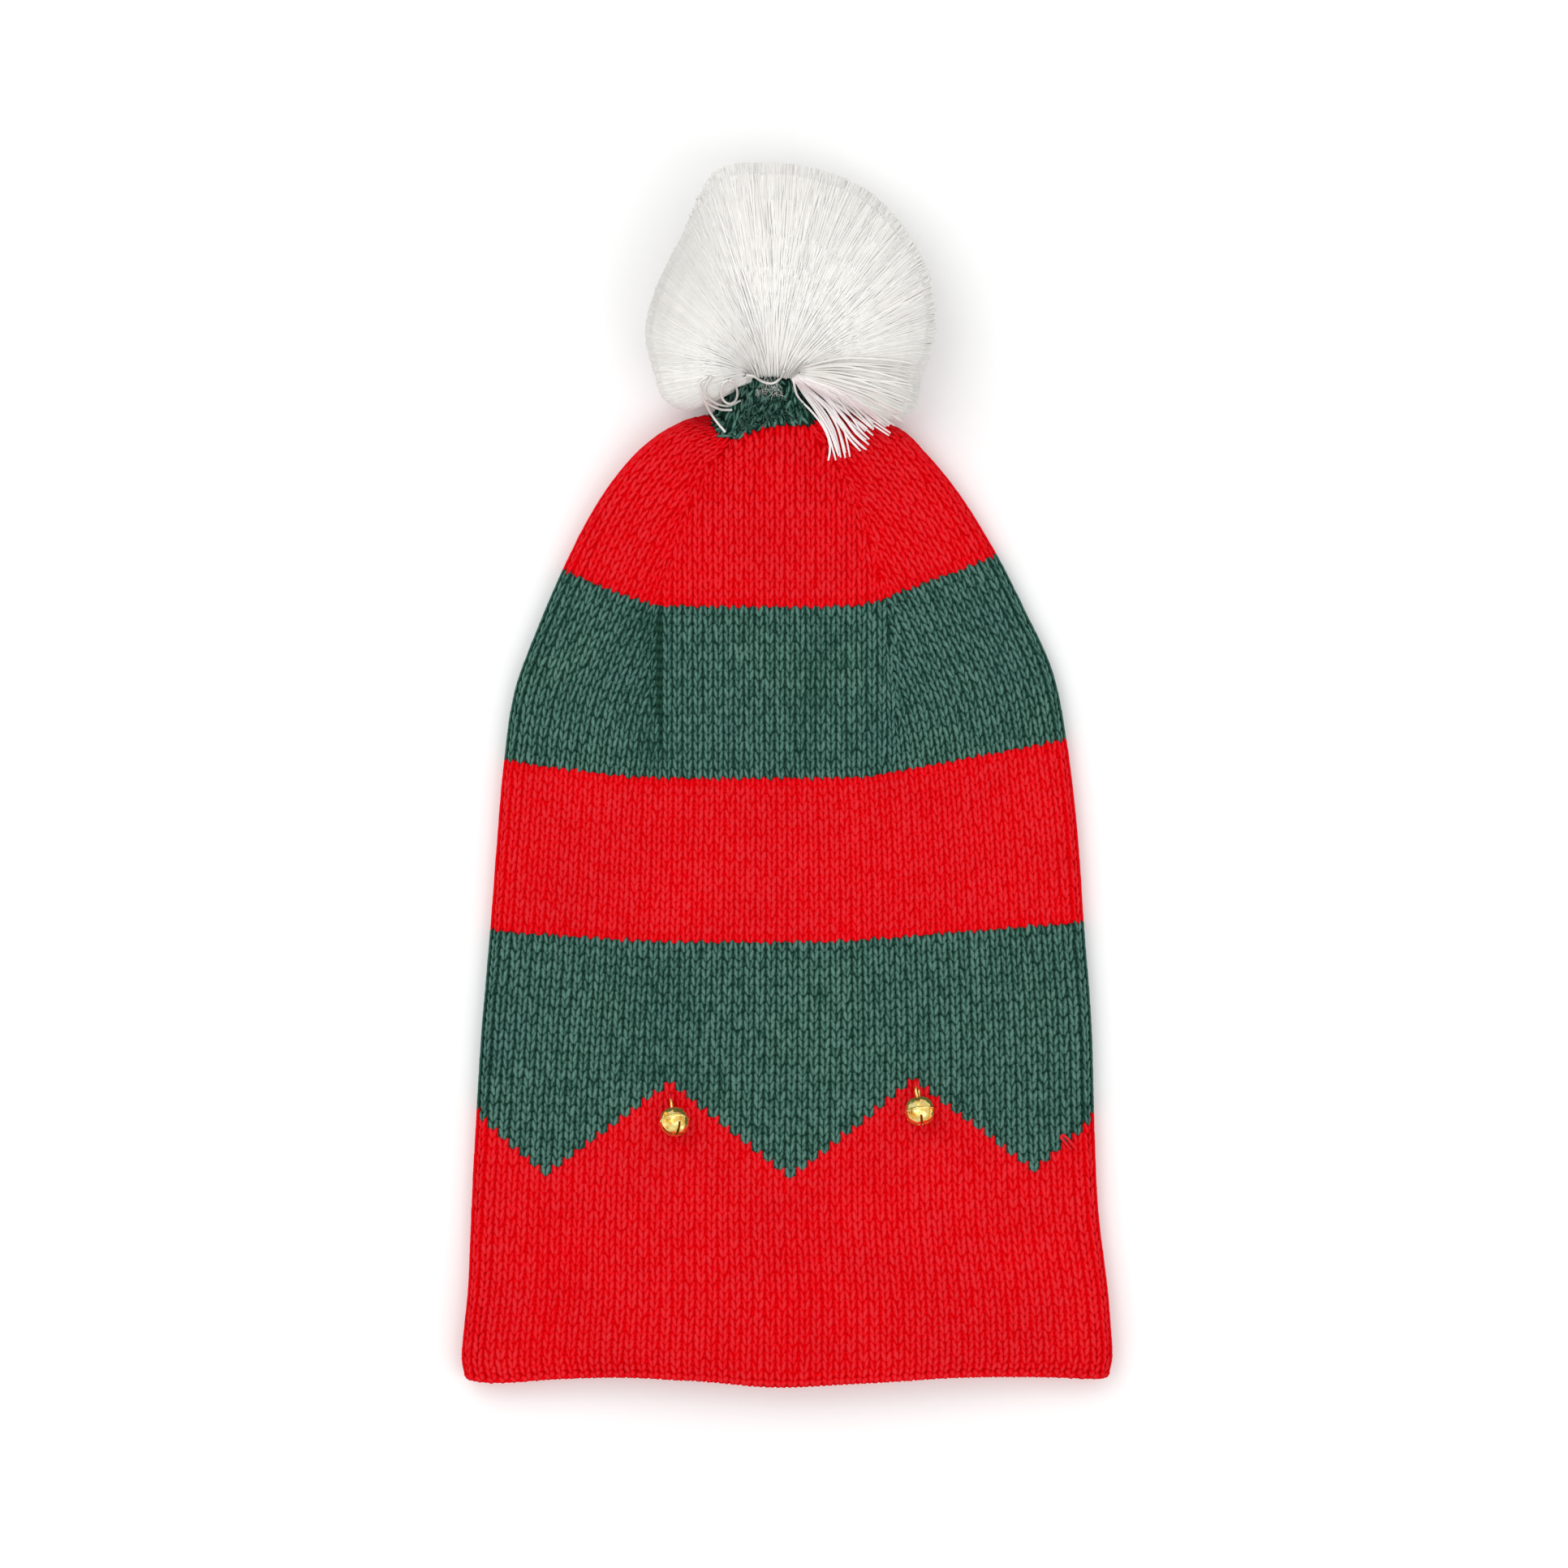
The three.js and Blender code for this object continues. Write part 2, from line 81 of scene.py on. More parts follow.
# mid_y, left, right: share of the half width where a course bends up towards each side fold
COURSE_BENDS = np.array([(-204.0, 0.36, 0.36), (-121.8, 0.42, 0.2), (-56.1, 0.46, 0.14), (-0.8, 0.52, 0.27), (57.2, 0.58, 0.39), (92.7, 0.5, 0.4), (134.0, 0.4, 0.4)])
BEND_SOFT = 0.07
# x, shift: how the gathers pull the courses at the foot of the neck
NECK_PULL = np.array([(-33.0, 0.0), (-28.0, -3.6), (-23.5, -6.0), (-19.0, -4.4), (-12.0, -0.6), (-5.0, 1.4), (2.0, 1.7), (8.0, -0.4), (14.0, -0.5), (24.0, 0.0)])

# across, drop
HEM_WAVE = np.array(
    [(-1, 1.5), (-0.9, 1.9), (-0.7, -0.4), (-0.5, -1.9), (-0.28, -1.4), (-0.04, 0.7), (0.2, -0.4), (0.5, -1.7), (0.8, -0.4), (0.95, 1.0), (1, 1.2)]
)
HEM_WAVE_FADE = 28.0

# from_x, from_y, to_x, to_y, half_width, depth
FOLDS = np.array(
    [
        (-27.0, 113.0, -45.0, 58.0, 6.0, 2.0),  # left crown crease
        (-45.5, 66.0, -48.0, -6.0, 6.5, 2.4),  # left stripe crease
        (17.0, 114.0, 34.0, 57.0, 6.5, 1.5),  # right crown crease
        (17.5, 54.0, 6.0, 20.0, 6.5, 1.7),  # middle stripe crease
        (6.5, 30.0, 5.0, -8.0, 6.0, 1.2),  # middle stripe tail
        (-22.0, 116.0, -26.0, 92.0, 3.2, 1.4),  # neck puckers
        (-11.0, 117.0, -9.0, 92.0, 3.4, 1.2),
        (4.0, 117.0, 9.0, 92.0, 3.4, 1.3),
        (-47.0, -60.0, -43.0, -108.0, 12.0, 1.4),  # left green dent
        (-80.0, -146.0, -80.0, -202.0, 10.0, 1.5),  # left hem dent
        (4.0, -158.0, 4.0, -206.0, 10.0, 1.0),  # middle hem dent
    ]
)

# Stripes from the hem up: lower edge and upper edge of the course at the middle, rows of stitches, yarn.
ZIG_ROWS, ZIG_WALES, VALLEY_WALE = 11, 22, 6
STRIPES = (
    ("hem_red", -204.0, -135.7, 23, "red"),
    ("zigzag", -135.7, -103.7, ZIG_ROWS, "both"),
    ("lower_green", -103.7, -56.1, 16, "green"),
    ("middle_red", -56.1, -0.8, 20, "red"),
    ("upper_green", -0.8, 57.2, 19, "green"),
    ("crown_red", 57.2, 116.4, 20, "red"),
    ("neck_green", 116.4, 134.0, 6, "green"),
)
# Wales of the upper layer and of the layer underneath: first side panel, middle panel, second side panel.
# Above the first row of knees the side panels lose wales.
PANEL_WALES = ((16, 23, 18), (16, 21, 16))
HALF_WALES = tuple(sum(c) for c in PANEL_WALES)
WALES = sum(HALF_WALES)
FRONT_WALES = HALF_WALES[0]
# mid_y, left knee x, right knee x
KNEES = np.array([(-0.8, -42.2, 37.3), (28, -44.0, 36.0), (57.2, -43.5, 33.3), (85, -35.0, 25.0), (105, -26.5, 16.0), (120, -17.5, 4.5), (134, -13.0, -0.5)])
GATHER_Y = 98.0  # above this no wale ends, they draw together
PLEATS, PLEAT_DEPTH = 9, 1.7

POM = dict(x=0.5, y=166.4, z=25.0, rise=33.0, sink=27.0)
# angle in degrees from +X, reach
POM_OUTLINE = np.array(
    [
        (0, 48.1), (19, 44.3), (37, 41.8), (50, 41.0), (68, 39.6), (85, 39.8), (102, 41.3), (121, 45.0),
        (134, 42.2), (150, 39.2), (167, 40.5), (183, 44.8), (199, 51.0), (213, 54.2), (223, 57.4), (233, 53.5),
        (246, 37.0), (262, 33.0), (278, 35.5), (294, 45.0), (312, 59.8), (325, 55.0), (340, 52.3), (360, 48.1),
    ]
)
# name, x, y, turn, raise, roll
BELLS = (("bell_left", -38.0, -116.6, 9, -30, 24), ("bell_right", 44.8, -113.0, 7, -16, 4))
FULLNESS = 2.35  # 2 is a round bell, more is fuller
BELL_R, BELL_SEAM, LOOP_TURN, LOOP_STRETCH = 5.2, 0.35, 62, 1.6  # radius over the seam, height of the seam, turn of the loop against the slots, its height by its width


# ---------------------------------------------------------------------------------------------
# The form of the hat
# ---------------------------------------------------------------------------------------------
def smooth(a, b, v):
    s = np.clip((v - a) / (b - a), 0, 1)
    return s * s * (3 - 2 * s)


def along(keys, values, at):
    """Smooth value of a column at places along the key column."""
    at = np.asarray(at, float)
    n = len(keys)
    lo, hi = np.maximum(np.arange(n) - 1, 0), np.minimum(np.arange(n) + 1, n - 1)
    slope = (values[hi] - values[lo]) / (keys[hi] - keys[lo])
    i = np.clip(np.searchsorted(keys, at, side="left") - 1, 0, n - 2)
    h = keys[i + 1] - keys[i]
    s = (at - keys[i]) / h
    s2, s3 = s * s, s * s * s
    return values[i] * (2 * s3 - 3 * s2 + 1) + slope[i] * h * (s3 - 2 * s2 + s) + values[i + 1] * (3 * s2 - 2 * s3) + slope[i + 1] * h * (s3 - s2)


def section(mid_y):
    row = {c: float(along(SECTIONS[:, 0], SECTIONS[:, k], mid_y)) for k, c in enumerate(SECTION_COLUMNS) if k}
    row["mid_y"] = float(mid_y)
    row["lift"] = max(0.0, row["lift"])
    row["bend_left"], row["bend_right"] = (float(along(COURSE_BENDS[:, 0], COURSE_BENDS[:, k], mid_y)) for k in (1, 2))
    return row


def course_y(row, across):
    edge = np.where(across < 0, row["left_y"], row["right_y"])
    knee = np.where(across < 0, row["bend_left"], row["bend_right"])
    start = (np.hypot(knee, BEND_SOFT) - knee) / 2
    over = np.abs(across) - knee
    bend = ((over + np.hypot(over, BEND_SOFT)) / 2 - start) / ((1 - knee + np.hypot(1 - knee, BEND_SOFT)) / 2 - start)
    fade = min(1, max(0, (row["mid_y"] - MOUTH_Y) / HEM_WAVE_FADE))
    drop = along(HEM_WAVE[:, 0], HEM_WAVE[:, 1], np.clip(across, -1, 1)) * (1 - fade) ** 2
    y = row["mid_y"] + (edge - row["mid_y"]) * bend - drop
    pull = float(smooth(98, 115, row["mid_y"]) * smooth(134, 122, row["mid_y"]))
    if pull > 0:
        x = row["left_x"] + (across + 1) / 2 * (row["right_x"] - row["left_x"])
        y = y + pull * along(NECK_PULL[:, 0], NECK_PULL[:, 1], np.clip(x, NECK_PULL[0, 0], NECK_PULL[-1, 0])) * (1 - np.abs(across) ** 8)
    return y


def dent(x, y):
    depth = np.zeros_like(x)
    for fx, fy, tx, ty, half, deep in FOLDS:
        dx, dy = tx - fx, ty - fy
        len2 = dx * dx + dy * dy
        s = ((x - fx) * dx + (y - fy) * dy) / len2
        off = ((x - fx) * dy - (y - fy) * dx) / math.sqrt(len2)
        depth += deep * np.exp(-((off / half) ** 2)) * smooth(-0.08, 0.22, s) * (1 - smooth(0.78, 1.08, s))
    return depth


def ripple(x, y):
    """Small unevenness of the lying cloth."""
    return (
        0.35 * np.sin(x * 0.071 + 1.3 * np.sin(y * 0.023) + 0.4) * np.sin(y * 0.047 + 0.8)
        + 0.22 * np.sin(x * 0.13 - y * 0.09 + 1.1)
        + 0.14 * np.sin(x * 0.031 + y * 0.21 + 2.0)
    )


TOP_POINTS, FOLD_POINTS, BASE_POINTS = 240, 14, 120


def halves(mid_y, inset, pull=0.0):
    """The two halves of one ring of the tube: over the top from left to right, and underneath from right to left."""
    row = section(mid_y)
    width = row["right_x"] - row["left_x"]
    r = row["fold_r"] - inset
    lo, rise = row["lift"] + inset, row["height"] - 2 * row["fold_r"]
    left, right = row["left_x"] + inset, row["right_x"] - inset
    t = np.linspace(-1, 1, TOP_POINTS)
    x = left + r + (right - left - 2 * r) * (t + 1) / 2
    across = np.clip(2 * (x - row["left_x"]) / width - 1, -1, 1)
    y = course_y(row, across)
    keep = 1 - t**8
    z = lo + 2 * r + rise * (1 - np.abs(t) ** 3) ** 2 - dent(x, y) * keep - (0.45 - ripple(x, y)) * keep * smooth(118, 100, mid_y)
    z -= 0.45 * keep * smooth(HEM_DEPTH - 2.5, HEM_DEPTH + 1.5, mid_y - MOUTH_Y) * smooth(95, 45, mid_y - MOUTH_Y)
    a = np.radians(np.linspace(180, 90, FOLD_POINTS))[:-1]
    b = np.radians(np.linspace(90, 0, FOLD_POINTS))[1:]
    top_x = np.concatenate([left + r + r * np.cos(a), x, right - r + r * np.cos(b)])
    top_z = np.concatenate([lo + r + r * np.sin(a), z, lo + r + r * np.sin(b)])
    base_x = np.linspace(right - r, left + r, BASE_POINTS)
    low_x = np.concatenate([right - r + r * np.cos(-b[::-1]), base_x, left + r + r * np.cos(-a[::-1])])
    low_z = np.concatenate([lo + r + r * np.sin(-b[::-1]), np.full(BASE_POINTS, lo), lo + r + r * np.sin(-a[::-1])])
    pleat = PLEAT_DEPTH * smooth(108, 121, mid_y)
    out = []
    for hx, hz in ((top_x, top_z), (low_x, low_z)):
        if pleat > 0:
            cx, cz = (left + right) / 2, lo + row["height"] / 2 - inset
            turn = np.arctan2(hz - cz, hx - cx)
            k = pleat * (np.cos(PLEATS * turn + 0.7) * 0.6 + np.cos(5 * turn + 2.0) * 0.4 - 0.5) / np.maximum(1, np.hypot(hx - cx, hz - cz))
            hx, hz = hx + (hx - cx) * k, hz + (hz - cz) * k
        ac = np.clip(2 * (hx - row["left_x"]) / width - 1, -1, 1)
        out.append(np.stack([hx, course_y(row, ac) - pull, hz], axis=1))
    return out


def spaced(points, at):
    """Points at given distances along a line."""
    d = np.concatenate([[0], np.cumsum(np.linalg.norm(np.diff(points, axis=0), axis=1))])
    return np.stack([np.interp(at, d, points[:, k]) for k in range(3)], axis=1), d[-1]


def length_of(points):
    return float(np.linalg.norm(np.diff(points, axis=0), axis=1).sum())


def even(points, n):
    return spaced(points, np.linspace(0, length_of(points), n))[0]


def wall(mid_y):
    return HEM_WALL - (HEM_WALL - KNIT_WALL) * smooth(HEM_DEPTH - HEM_STEP, HEM_DEPTH, mid_y - MOUTH_Y)


def top_z(x, y):
    """Height of the upper layer's outer face at a point."""
    lo, hi = MOUTH_Y, TIE_Y
    for _ in range(40):
        mid = (lo + hi) / 2
        pts = halves(mid, 0.0)[0]
        if np.interp(x, pts[FOLD_POINTS:-FOLD_POINTS, 0], pts[FOLD_POINTS:-FOLD_POINTS, 1]) < y:
            lo = mid
        else:
            hi = mid
    pts = halves(lo, 0.0)[0][FOLD_POINTS:-FOLD_POINTS]
    return float(np.interp(x, pts[:, 0], pts[:, 2]))


# ---------------------------------------------------------------------------------------------
# Meshes
# ---------------------------------------------------------------------------------------------
def mesh_object(name, verts, faces, materials, uv=None, face_material=None, smooth_faces=True, rise=None, normals=None):
    """faces is a list of arrays, each of faces with the same number of corners. uv has one array per array of faces.
    rise gives each point how much painted highlight its colour takes: painted highlight and shade on the stitches and
    red strands, painted light near the pompom's knot, a random amount on the neck's hairs."""
    mesh = bpy.data.meshes.new(name)
    verts = (np.asarray(verts, float) + SHIFT) * MM
    corners = np.concatenate([f.reshape(-1) for f in faces]).astype(np.int32)
    totals = np.concatenate([np.full(len(f), f.shape[1]) for f in faces]).astype(np.int32)
    starts = np.concatenate([[0], np.cumsum(totals)[:-1]]).astype(np.int32)
    mesh.vertices.add(len(verts))
    mesh.vertices.foreach_set("co", verts.astype(np.float32).reshape(-1))
    mesh.loops.add(len(corners))
    mesh.loops.foreach_set("vertex_index", corners)
    mesh.polygons.add(len(totals))
    mesh.polygons.foreach_set("loop_start", starts)
    mesh.polygons.foreach_set("loop_total", totals)
    for m in materials:
        mesh.materials.append(m)
    if face_material is not None:
        mesh.polygons.foreach_set("material_index", np.asarray(face_material, np.int32))
    mesh.update(calc_edges=True)
    mesh.validate(clean_customdata=False)
    mesh.polygons.foreach_set("use_smooth", np.full(len(totals), smooth_faces))
    if uv is not None:
        for label, data in uv.items():
            layer = mesh.uv_layers.new(name=label)
            layer.data.foreach_set("uv", np.concatenate([u.reshape(-1) for u in data]).astype(np.float32))
    if rise is not None:
        mesh.attributes.new("rise", "FLOAT", "POINT").data.foreach_set("value", np.asarray(rise, np.float32))
    mesh.update()
    if normals is not None:
        mesh.normals_split_custom_set_from_vertices(unit(np.asarray(normals)).tolist())
    obj = bpy.data.objects.new(name, mesh)
    bpy.context.scene.collection.objects.link(obj)
    return obj


def unit(v):
    return v / np.maximum(1e-9, np.linalg.norm(v, axis=-1, keepdims=True))


def spindles(P, S, M, N, wide, high, calm, loose, shade, sides, stations):
    """Both legs of every stitch as closed spindles. stations: (across, along, up, size, bright) rows, the first and
    last are the tips; bright is the share of painted highlight on the leg's crest there.
    calm flattens the stitches that make the outline, loose makes those of the gathered neck uneven, shade is painted
    shade that darkens a stitch's highlight in creases and in red rows at a change of colour."""
    n = len(P)
    st = np.array(stations)
    rings = len(st) - 2
    per = rings * sides + 2
    ends = np.array([1.0] + [0.0] * rings + [1.0])
    up = st[:, 2] * (1 - calm[:, None]) + (0.13 - 0.6 * ends) * calm[:, None]
    thick = st[:, 3] * (1 - calm[:, None]) + (1 - ends) * calm[:, None]
    jitter = rng.normal(size=(2, n, 4)) * ((1 - 0.65 * calm) * (1 + 1.3 * loose))[None, :, None]
    verts = np.empty((2, n, per, 3))
    rise = np.zeros((2, n, per))
    phi = math.pi / 2 + 2 * math.pi * np.arange(sides) / sides
    for leg, sign in enumerate((-1.0, 1.0)):
        j = jitter[leg]
        a = sign * st[None, :, 0] * wide[:, None] + (0.03 * j[:, :1] + 0.2 * loose[:, None] * j[:, 2:3] * st[None, :, 1]) * wide[:, None]
        b = st[None, :, 1] * high[:, None] + 0.08 * j[:, 1:2] * high[:, None]
        h = up + 0.07 * j[:, 2:3]
        size = thick * YARN_R * (1 + 0.05 * j[:, 3:4])
        c = P[:, None] + a[..., None] * S[:, None] + b[..., None] * M[:, None] + h[..., None] * N[:, None]
        axis = unit(c[:, -2] - c[:, 1])[:, None]
        U = unit(np.cross(axis, N[:, None]))
        V = N[:, None]
        fit = 0.84 * np.minimum(1.05, wide / 3.6) * (1 + 0.3 * calm)
        # each leg's share of the painted highlight: a random tone, times the painted shade of its crease and row
        light = np.clip(1 + (0.08 + 0.2 * loose) * j[:, 3], 0.2, 1.5) * shade
        for k in range(rings):
            rad = size[:, k + 1]
            ring = c[:, k + 1, None] + (rad * fit)[:, None, None] * np.cos(phi)[None, :, None] * U + 0.78 * rad[:, None, None] * np.sin(phi)[None, :, None] * V
            verts[leg, :, k * sides : (k + 1) * sides] = ring
            # painted highlight on the side of each ring facing up out of the cloth, falling to painted shade on its
            # underside
            rise[leg, :, k * sides : (k + 1) * sides] = st[k + 1, 4] * light[:, None] * (0.5 + 0.5 * np.sin(phi))[None] ** 1.7
        verts[leg, :, -2] = c[:, 0]
        verts[leg, :, -1] = c[:, -1]
    verts = verts.reshape(-1, 3)
    total = 2 * n
    base = np.arange(total)[:, None, None] * per
    s = np.arange(sides)
    nxt = (s + 1) % sides
    quads = []
    for k in range(rings - 1):
        quads.append(np.stack([k * sides + s, k * sides + nxt, (k + 1) * sides + nxt, (k + 1) * sides + s], axis=1))
    quads = np.concatenate(quads)[None] + base
    lo_tip = np.stack([np.full(sides, per - 2), nxt, s], axis=1)
    hi_tip = np.stack([np.full(sides, per - 1), (rings - 1) * sides + s, (rings - 1) * sides + nxt], axis=1)
    tris = np.concatenate([lo_tip, hi_tip])[None] + base
    # one small cell of the bake map for each leg
    grid = int(math.ceil(math.sqrt(total)))
    cell = np.stack([np.arange(total) % grid, np.arange(total) // grid], axis=1) / grid
    pad, room = 0.08 / grid, 0.84 / grid
    tq = []
    for k in range(rings - 1):
        u0, u1 = (k + 1) / (rings + 1), (k + 2) / (rings + 1)
        tq.append(np.stack([np.stack([np.full(sides, u0), s / sides], 1), np.stack([np.full(sides, u0), (s + 1) / sides], 1), np.stack([np.full(sides, u1), (s + 1) / sides], 1), np.stack([np.full(sides, u1), s / sides], 1)], axis=1))
    tq = np.concatenate(tq)
    first, last = 1 / (rings + 1), rings / (rings + 1)
    tl = np.stack([np.stack([np.zeros(sides), (s + 0.5) / sides], 1), np.stack([np.full(sides, first), (s + 1) / sides], 1), np.stack([np.full(sides, first), s / sides], 1)], axis=1)
    th = np.stack([np.stack([np.ones(sides), (s + 0.5) / sides], 1), np.stack([np.full(sides, last), s / sides], 1), np.stack([np.full(sides, last), (s + 1) / sides], 1)], axis=1)
    tt = np.concatenate([tl, th])
    quads, tris, tq, tt = quads[..., ::-1], tris[..., ::-1], tq[:, ::-1], tt[:, ::-1]
    uvq = cell[:, None, None] + pad + room * tq[None]
    uvt = cell[:, None, None] + pad + room * tt[None]
    return verts, quads.reshape(-1, 4), tris.reshape(-1, 3), uvq.reshape(-1, 2), uvt.reshape(-1, 2), rise.reshape(-1)


def tubes(paths, radii, sides):
    """Closed tubes along many paths with the same number of points: paths n,k,3 and radii n,k."""
    n, k, _ = paths.shape
    d = unit(np.gradient(paths, axis=1))
    first = np.where(np.abs(d[:, 0, 2:3]) < 0.85, np.array([0, 0, 1.0]), np.array([1.0, 0, 0]))
    U = np.empty_like(d)
    U[:, 0] = unit(np.cross(d[:, 0], first))
    for j in range(1, k):
        U[:, j] = unit(U[:, j - 1] - d[:, j] * (d[:, j] * U[:, j - 1]).sum(-1, keepdims=True))
    V = np.cross(d, U)
    phi = -math.pi / 2 - math.pi / sides + 2 * math.pi * np.arange(sides) / sides
    out = np.cos(phi)[None, None, :, None] * U[:, :, None] + np.sin(phi)[None, None, :, None] * V[:, :, None]
    verts = paths[:, :, None] + radii[:, :, None, None] * out
    per = k * sides
    base = np.arange(n)[:, None, None] * per
    s = np.arange(sides)
    nxt = (s + 1) % sides
    quads = np.concatenate([np.stack([j * sides + s, (j + 1) * sides + s, (j + 1) * sides + nxt, j * sides + nxt], axis=1) for j in range(k - 1)])[None] + base
    ends = np.stack([s, (k - 1) * sides + s[::-1]])[None] + base
    grid = int(math.ceil(math.sqrt(n)))
    cell = np.stack([np.arange(n) % grid, np.arange(n) // grid], axis=1) / grid
    pad, room = 0.08 / grid, 0.84 / grid
    tq = np.concatenate(
        [
            np.stack([np.stack([np.full(sides, j / (k - 1)), s / sides], 1), np.stack([np.full(sides, (j + 1) / (k - 1)), s / sides], 1), np.stack([np.full(sides, (j + 1) / (k - 1)), (s + 1) / sides], 1), np.stack([np.full(sides, j / (k - 1)), (s + 1) / sides], 1)], axis=1)
            for j in range(k - 1)
        ]
    )
    te = np.stack([np.stack([np.zeros(sides), s / sides], 1), np.stack([np.ones(sides), s[::-1] / sides], 1)])
    quads, ends, tq, te = quads[..., ::-1], ends[..., ::-1], tq[:, ::-1], te[:, ::-1]
    uvq = cell[:, None, None] + pad + room * tq[None]
    uve = cell[:, None, None] + pad + room * te[None]
    return verts.reshape(-1, 3), quads.reshape(-1, 4), ends.reshape(-1, sides), uvq.reshape(-1, 2), uve.reshape(-1, 2), out.reshape(-1, 3)


# ---------------------------------------------------------------------------------------------
# Materials
# ---------------------------------------------------------------------------------------------
def material(name):
    m = bpy.data.materials.new(name)
    m.use_nodes = True
    t = m.node_tree
    t.nodes.clear()
    out = t.nodes.new("ShaderNodeOutputMaterial")
    shader = t.nodes.new("ShaderNodeBsdfPrincipled")
    t.links.new(shader.outputs["BSDF"], out.inputs["Surface"])
    return m, t, shader


def node(t, kind, **values):
    n = t.nodes.new(kind)
    for k, v in values.items():
        if k.startswith("in_"):
            n.inputs[k[3:].replace("_", " ")].default_value = v
        else:
            setattr(n, k, v)
    return n


def noise(t, scale, detail=2.0, rough=0.5, stretch=None):
    coords = node(t, "ShaderNodeTexCoord")
    n = node(t, "ShaderNodeTexNoise")
    n.inputs["Scale"].default_value = scale
    n.inputs["Detail"].default_value = detail
    n.inputs["Roughness"].default_value = rough
    src = coords.outputs["Object"]
    if stretch is not None:
        mp = node(t, "ShaderNodeMapping")
        mp.inputs["Scale"].default_value = stretch
        t.links.new(src, mp.inputs["Vector"])
        src = mp.outputs["Vector"]
    t.links.new(src, n.inputs["Vector"])
    return n.outputs["Fac"]


def ramp(t, fac, stops):
    r = node(t, "ShaderNodeValToRGB")
    e = r.color_ramp.elements
    while len(e) < len(stops):
        e.new(0.5)
    for el, (pos, col) in zip(e, stops):
        el.position = pos
        el.color = (*col, 1)
    t.links.new(fac, r.inputs["Fac"])
    return r.outputs["Color"]


def mix(t, kind, fac, a, b):
    m = node(t, "ShaderNodeMix", data_type="RGBA", blend_type=kind)
    for socket, value in (("Factor", fac), ("A", a), ("B", b)):
        s = next(i for i in m.inputs if i.name == socket and i.enabled)
        if hasattr(value, "is_linked"):
            t.links.new(value, s)
        elif isinstance(value, (int, float)):
            s.default_value = value
        else:
            s.default_value = (*value, 1)
    return next(o for o in m.outputs if o.enabled)


def bump(t, shader, height, strength, distance, under=None):
    b = node(t, "ShaderNodeBump")
    b.inputs["Strength"].default_value = strength
    b.inputs["Distance"].default_value = distance
    t.links.new(height, b.inputs["Height"])
    if under is not None:
        t.links.new(under, b.inputs["Normal"])
    t.links.new(b.outputs["Normal"], shader.inputs["Normal"])
    return b.outputs["Normal"]


def yarn(name, deep, side, top, tint, gloss):
    """Yarn coloured by the rise attribute: painted shade in the gaps, the half-lit sides, and a painted highlight with
    a painted sheen on the crests; with fine fibres and uneven dye.
    """
    m, t, s = material(name)
    # rise carries the painted highlight and painted shade of the stitches
    rise = node(t, "ShaderNodeAttribute", attribute_name="rise")
    wide = noise(t, 38.0, 3.0, 0.55)
    stitch = noise(t, 300.0, 2.0, 0.5)
    fibre = noise(t, 1.0, 2.0, 0.6, (1700.0, 700.0, 1700.0))
    height = node(t, "ShaderNodeMath", operation="MULTIPLY_ADD")
    t.links.new(fibre, height.inputs[0])
    height.inputs[1].default_value = 1.0
    t.links.new(rise.outputs["Fac"], height.inputs[2])
    level = node(t, "ShaderNodeMath", operation="MULTIPLY_ADD")
    t.links.new(stitch, level.inputs[0])
    level.inputs[1].default_value = 0.08
    t.links.new(height.outputs["Value"], level.inputs[2])
    shade = node(t, "ShaderNodeMath", operation="SUBTRACT")
    t.links.new(level.outputs["Value"], shade.inputs[0])
    shade.inputs[1].default_value = 0.56
    # deep, side and top are the yarn's colour in painted shade, half-lit and under a painted highlight
    col = ramp(t, shade.outputs["Value"], ((0.08, deep), (0.5, side), (0.95, top)))
    col = mix(t, "MULTIPLY", 0.6, col, ramp(t, wide, ((0.3, tint), (0.7, (1.07, 1.07, 1.07)))))
    t.links.new(col, s.inputs["Base Color"])
    s.inputs["Roughness"].default_value = 0.9
    s.inputs["Specular IOR Level"].default_value = gloss
    bump(t, s, fibre, 0.5, 0.00035)
    return m


def painted_shade_ground(name, dark, mid):
    """The cloth behind the stitches and the reverse side inside the hat, with the bumps of the purl side. Its colours
    are painted shade: the yarn as it looks in the shaded gaps between the stitches, darkest in painted shade between
    the purl bumps.
    """
    m, t, s = material(name)
    uv = node(t, "ShaderNodeUVMap", uv_map="knit")
    wave = node(t, "ShaderNodeTexWave", wave_type="BANDS", bands_direction="Y", wave_profile="SIN")
    wave.inputs["Scale"].default_value = 0.31416
    wave.inputs["Distortion"].default_value = 0.0
    wales = node(t, "ShaderNodeTexWave", wave_type="BANDS", bands_direction="X", wave_profile="SIN")
    wales.inputs["Scale"].default_value = 0.62832
    wales.inputs["Distortion"].default_value = 0.0
    for w in (wave, wales):
        w.inputs["Detail"].default_value = 0.0
        t.links.new(uv.outputs["UV"], w.inputs["Vector"])
    both = node(t, "ShaderNodeMath", operation="MULTIPLY_ADD")
    t.links.new(wales.outputs["Fac"], both.inputs[0])
    both.inputs[1].default_value = 0.45
    t.links.new(wave.outputs["Fac"], both.inputs[2])
    fuzz = noise(t, 1600.0, 3.0, 0.6)
    # dark in the troughs between the purl bumps: painted shade
    col = ramp(t, both.outputs["Value"], ((0.1, dark), (0.95, mid)))
    col = mix(t, "MULTIPLY", 0.6, col, ramp(t, fuzz, ((0.3, (0.7, 0.7, 0.7)), (0.7, (1.1, 1.1, 1.1)))))
    t.links.new(col, s.inputs["Base Color"])
    s.inputs["Roughness"].default_value = 0.95
    s.inputs["Specular IOR Level"].default_value = 0.0
    first = bump(t, s, both.outputs["Value"], 0.9, 0.0011)
    bump(t, s, fuzz, 0.4, 0.0003, first)
    return m


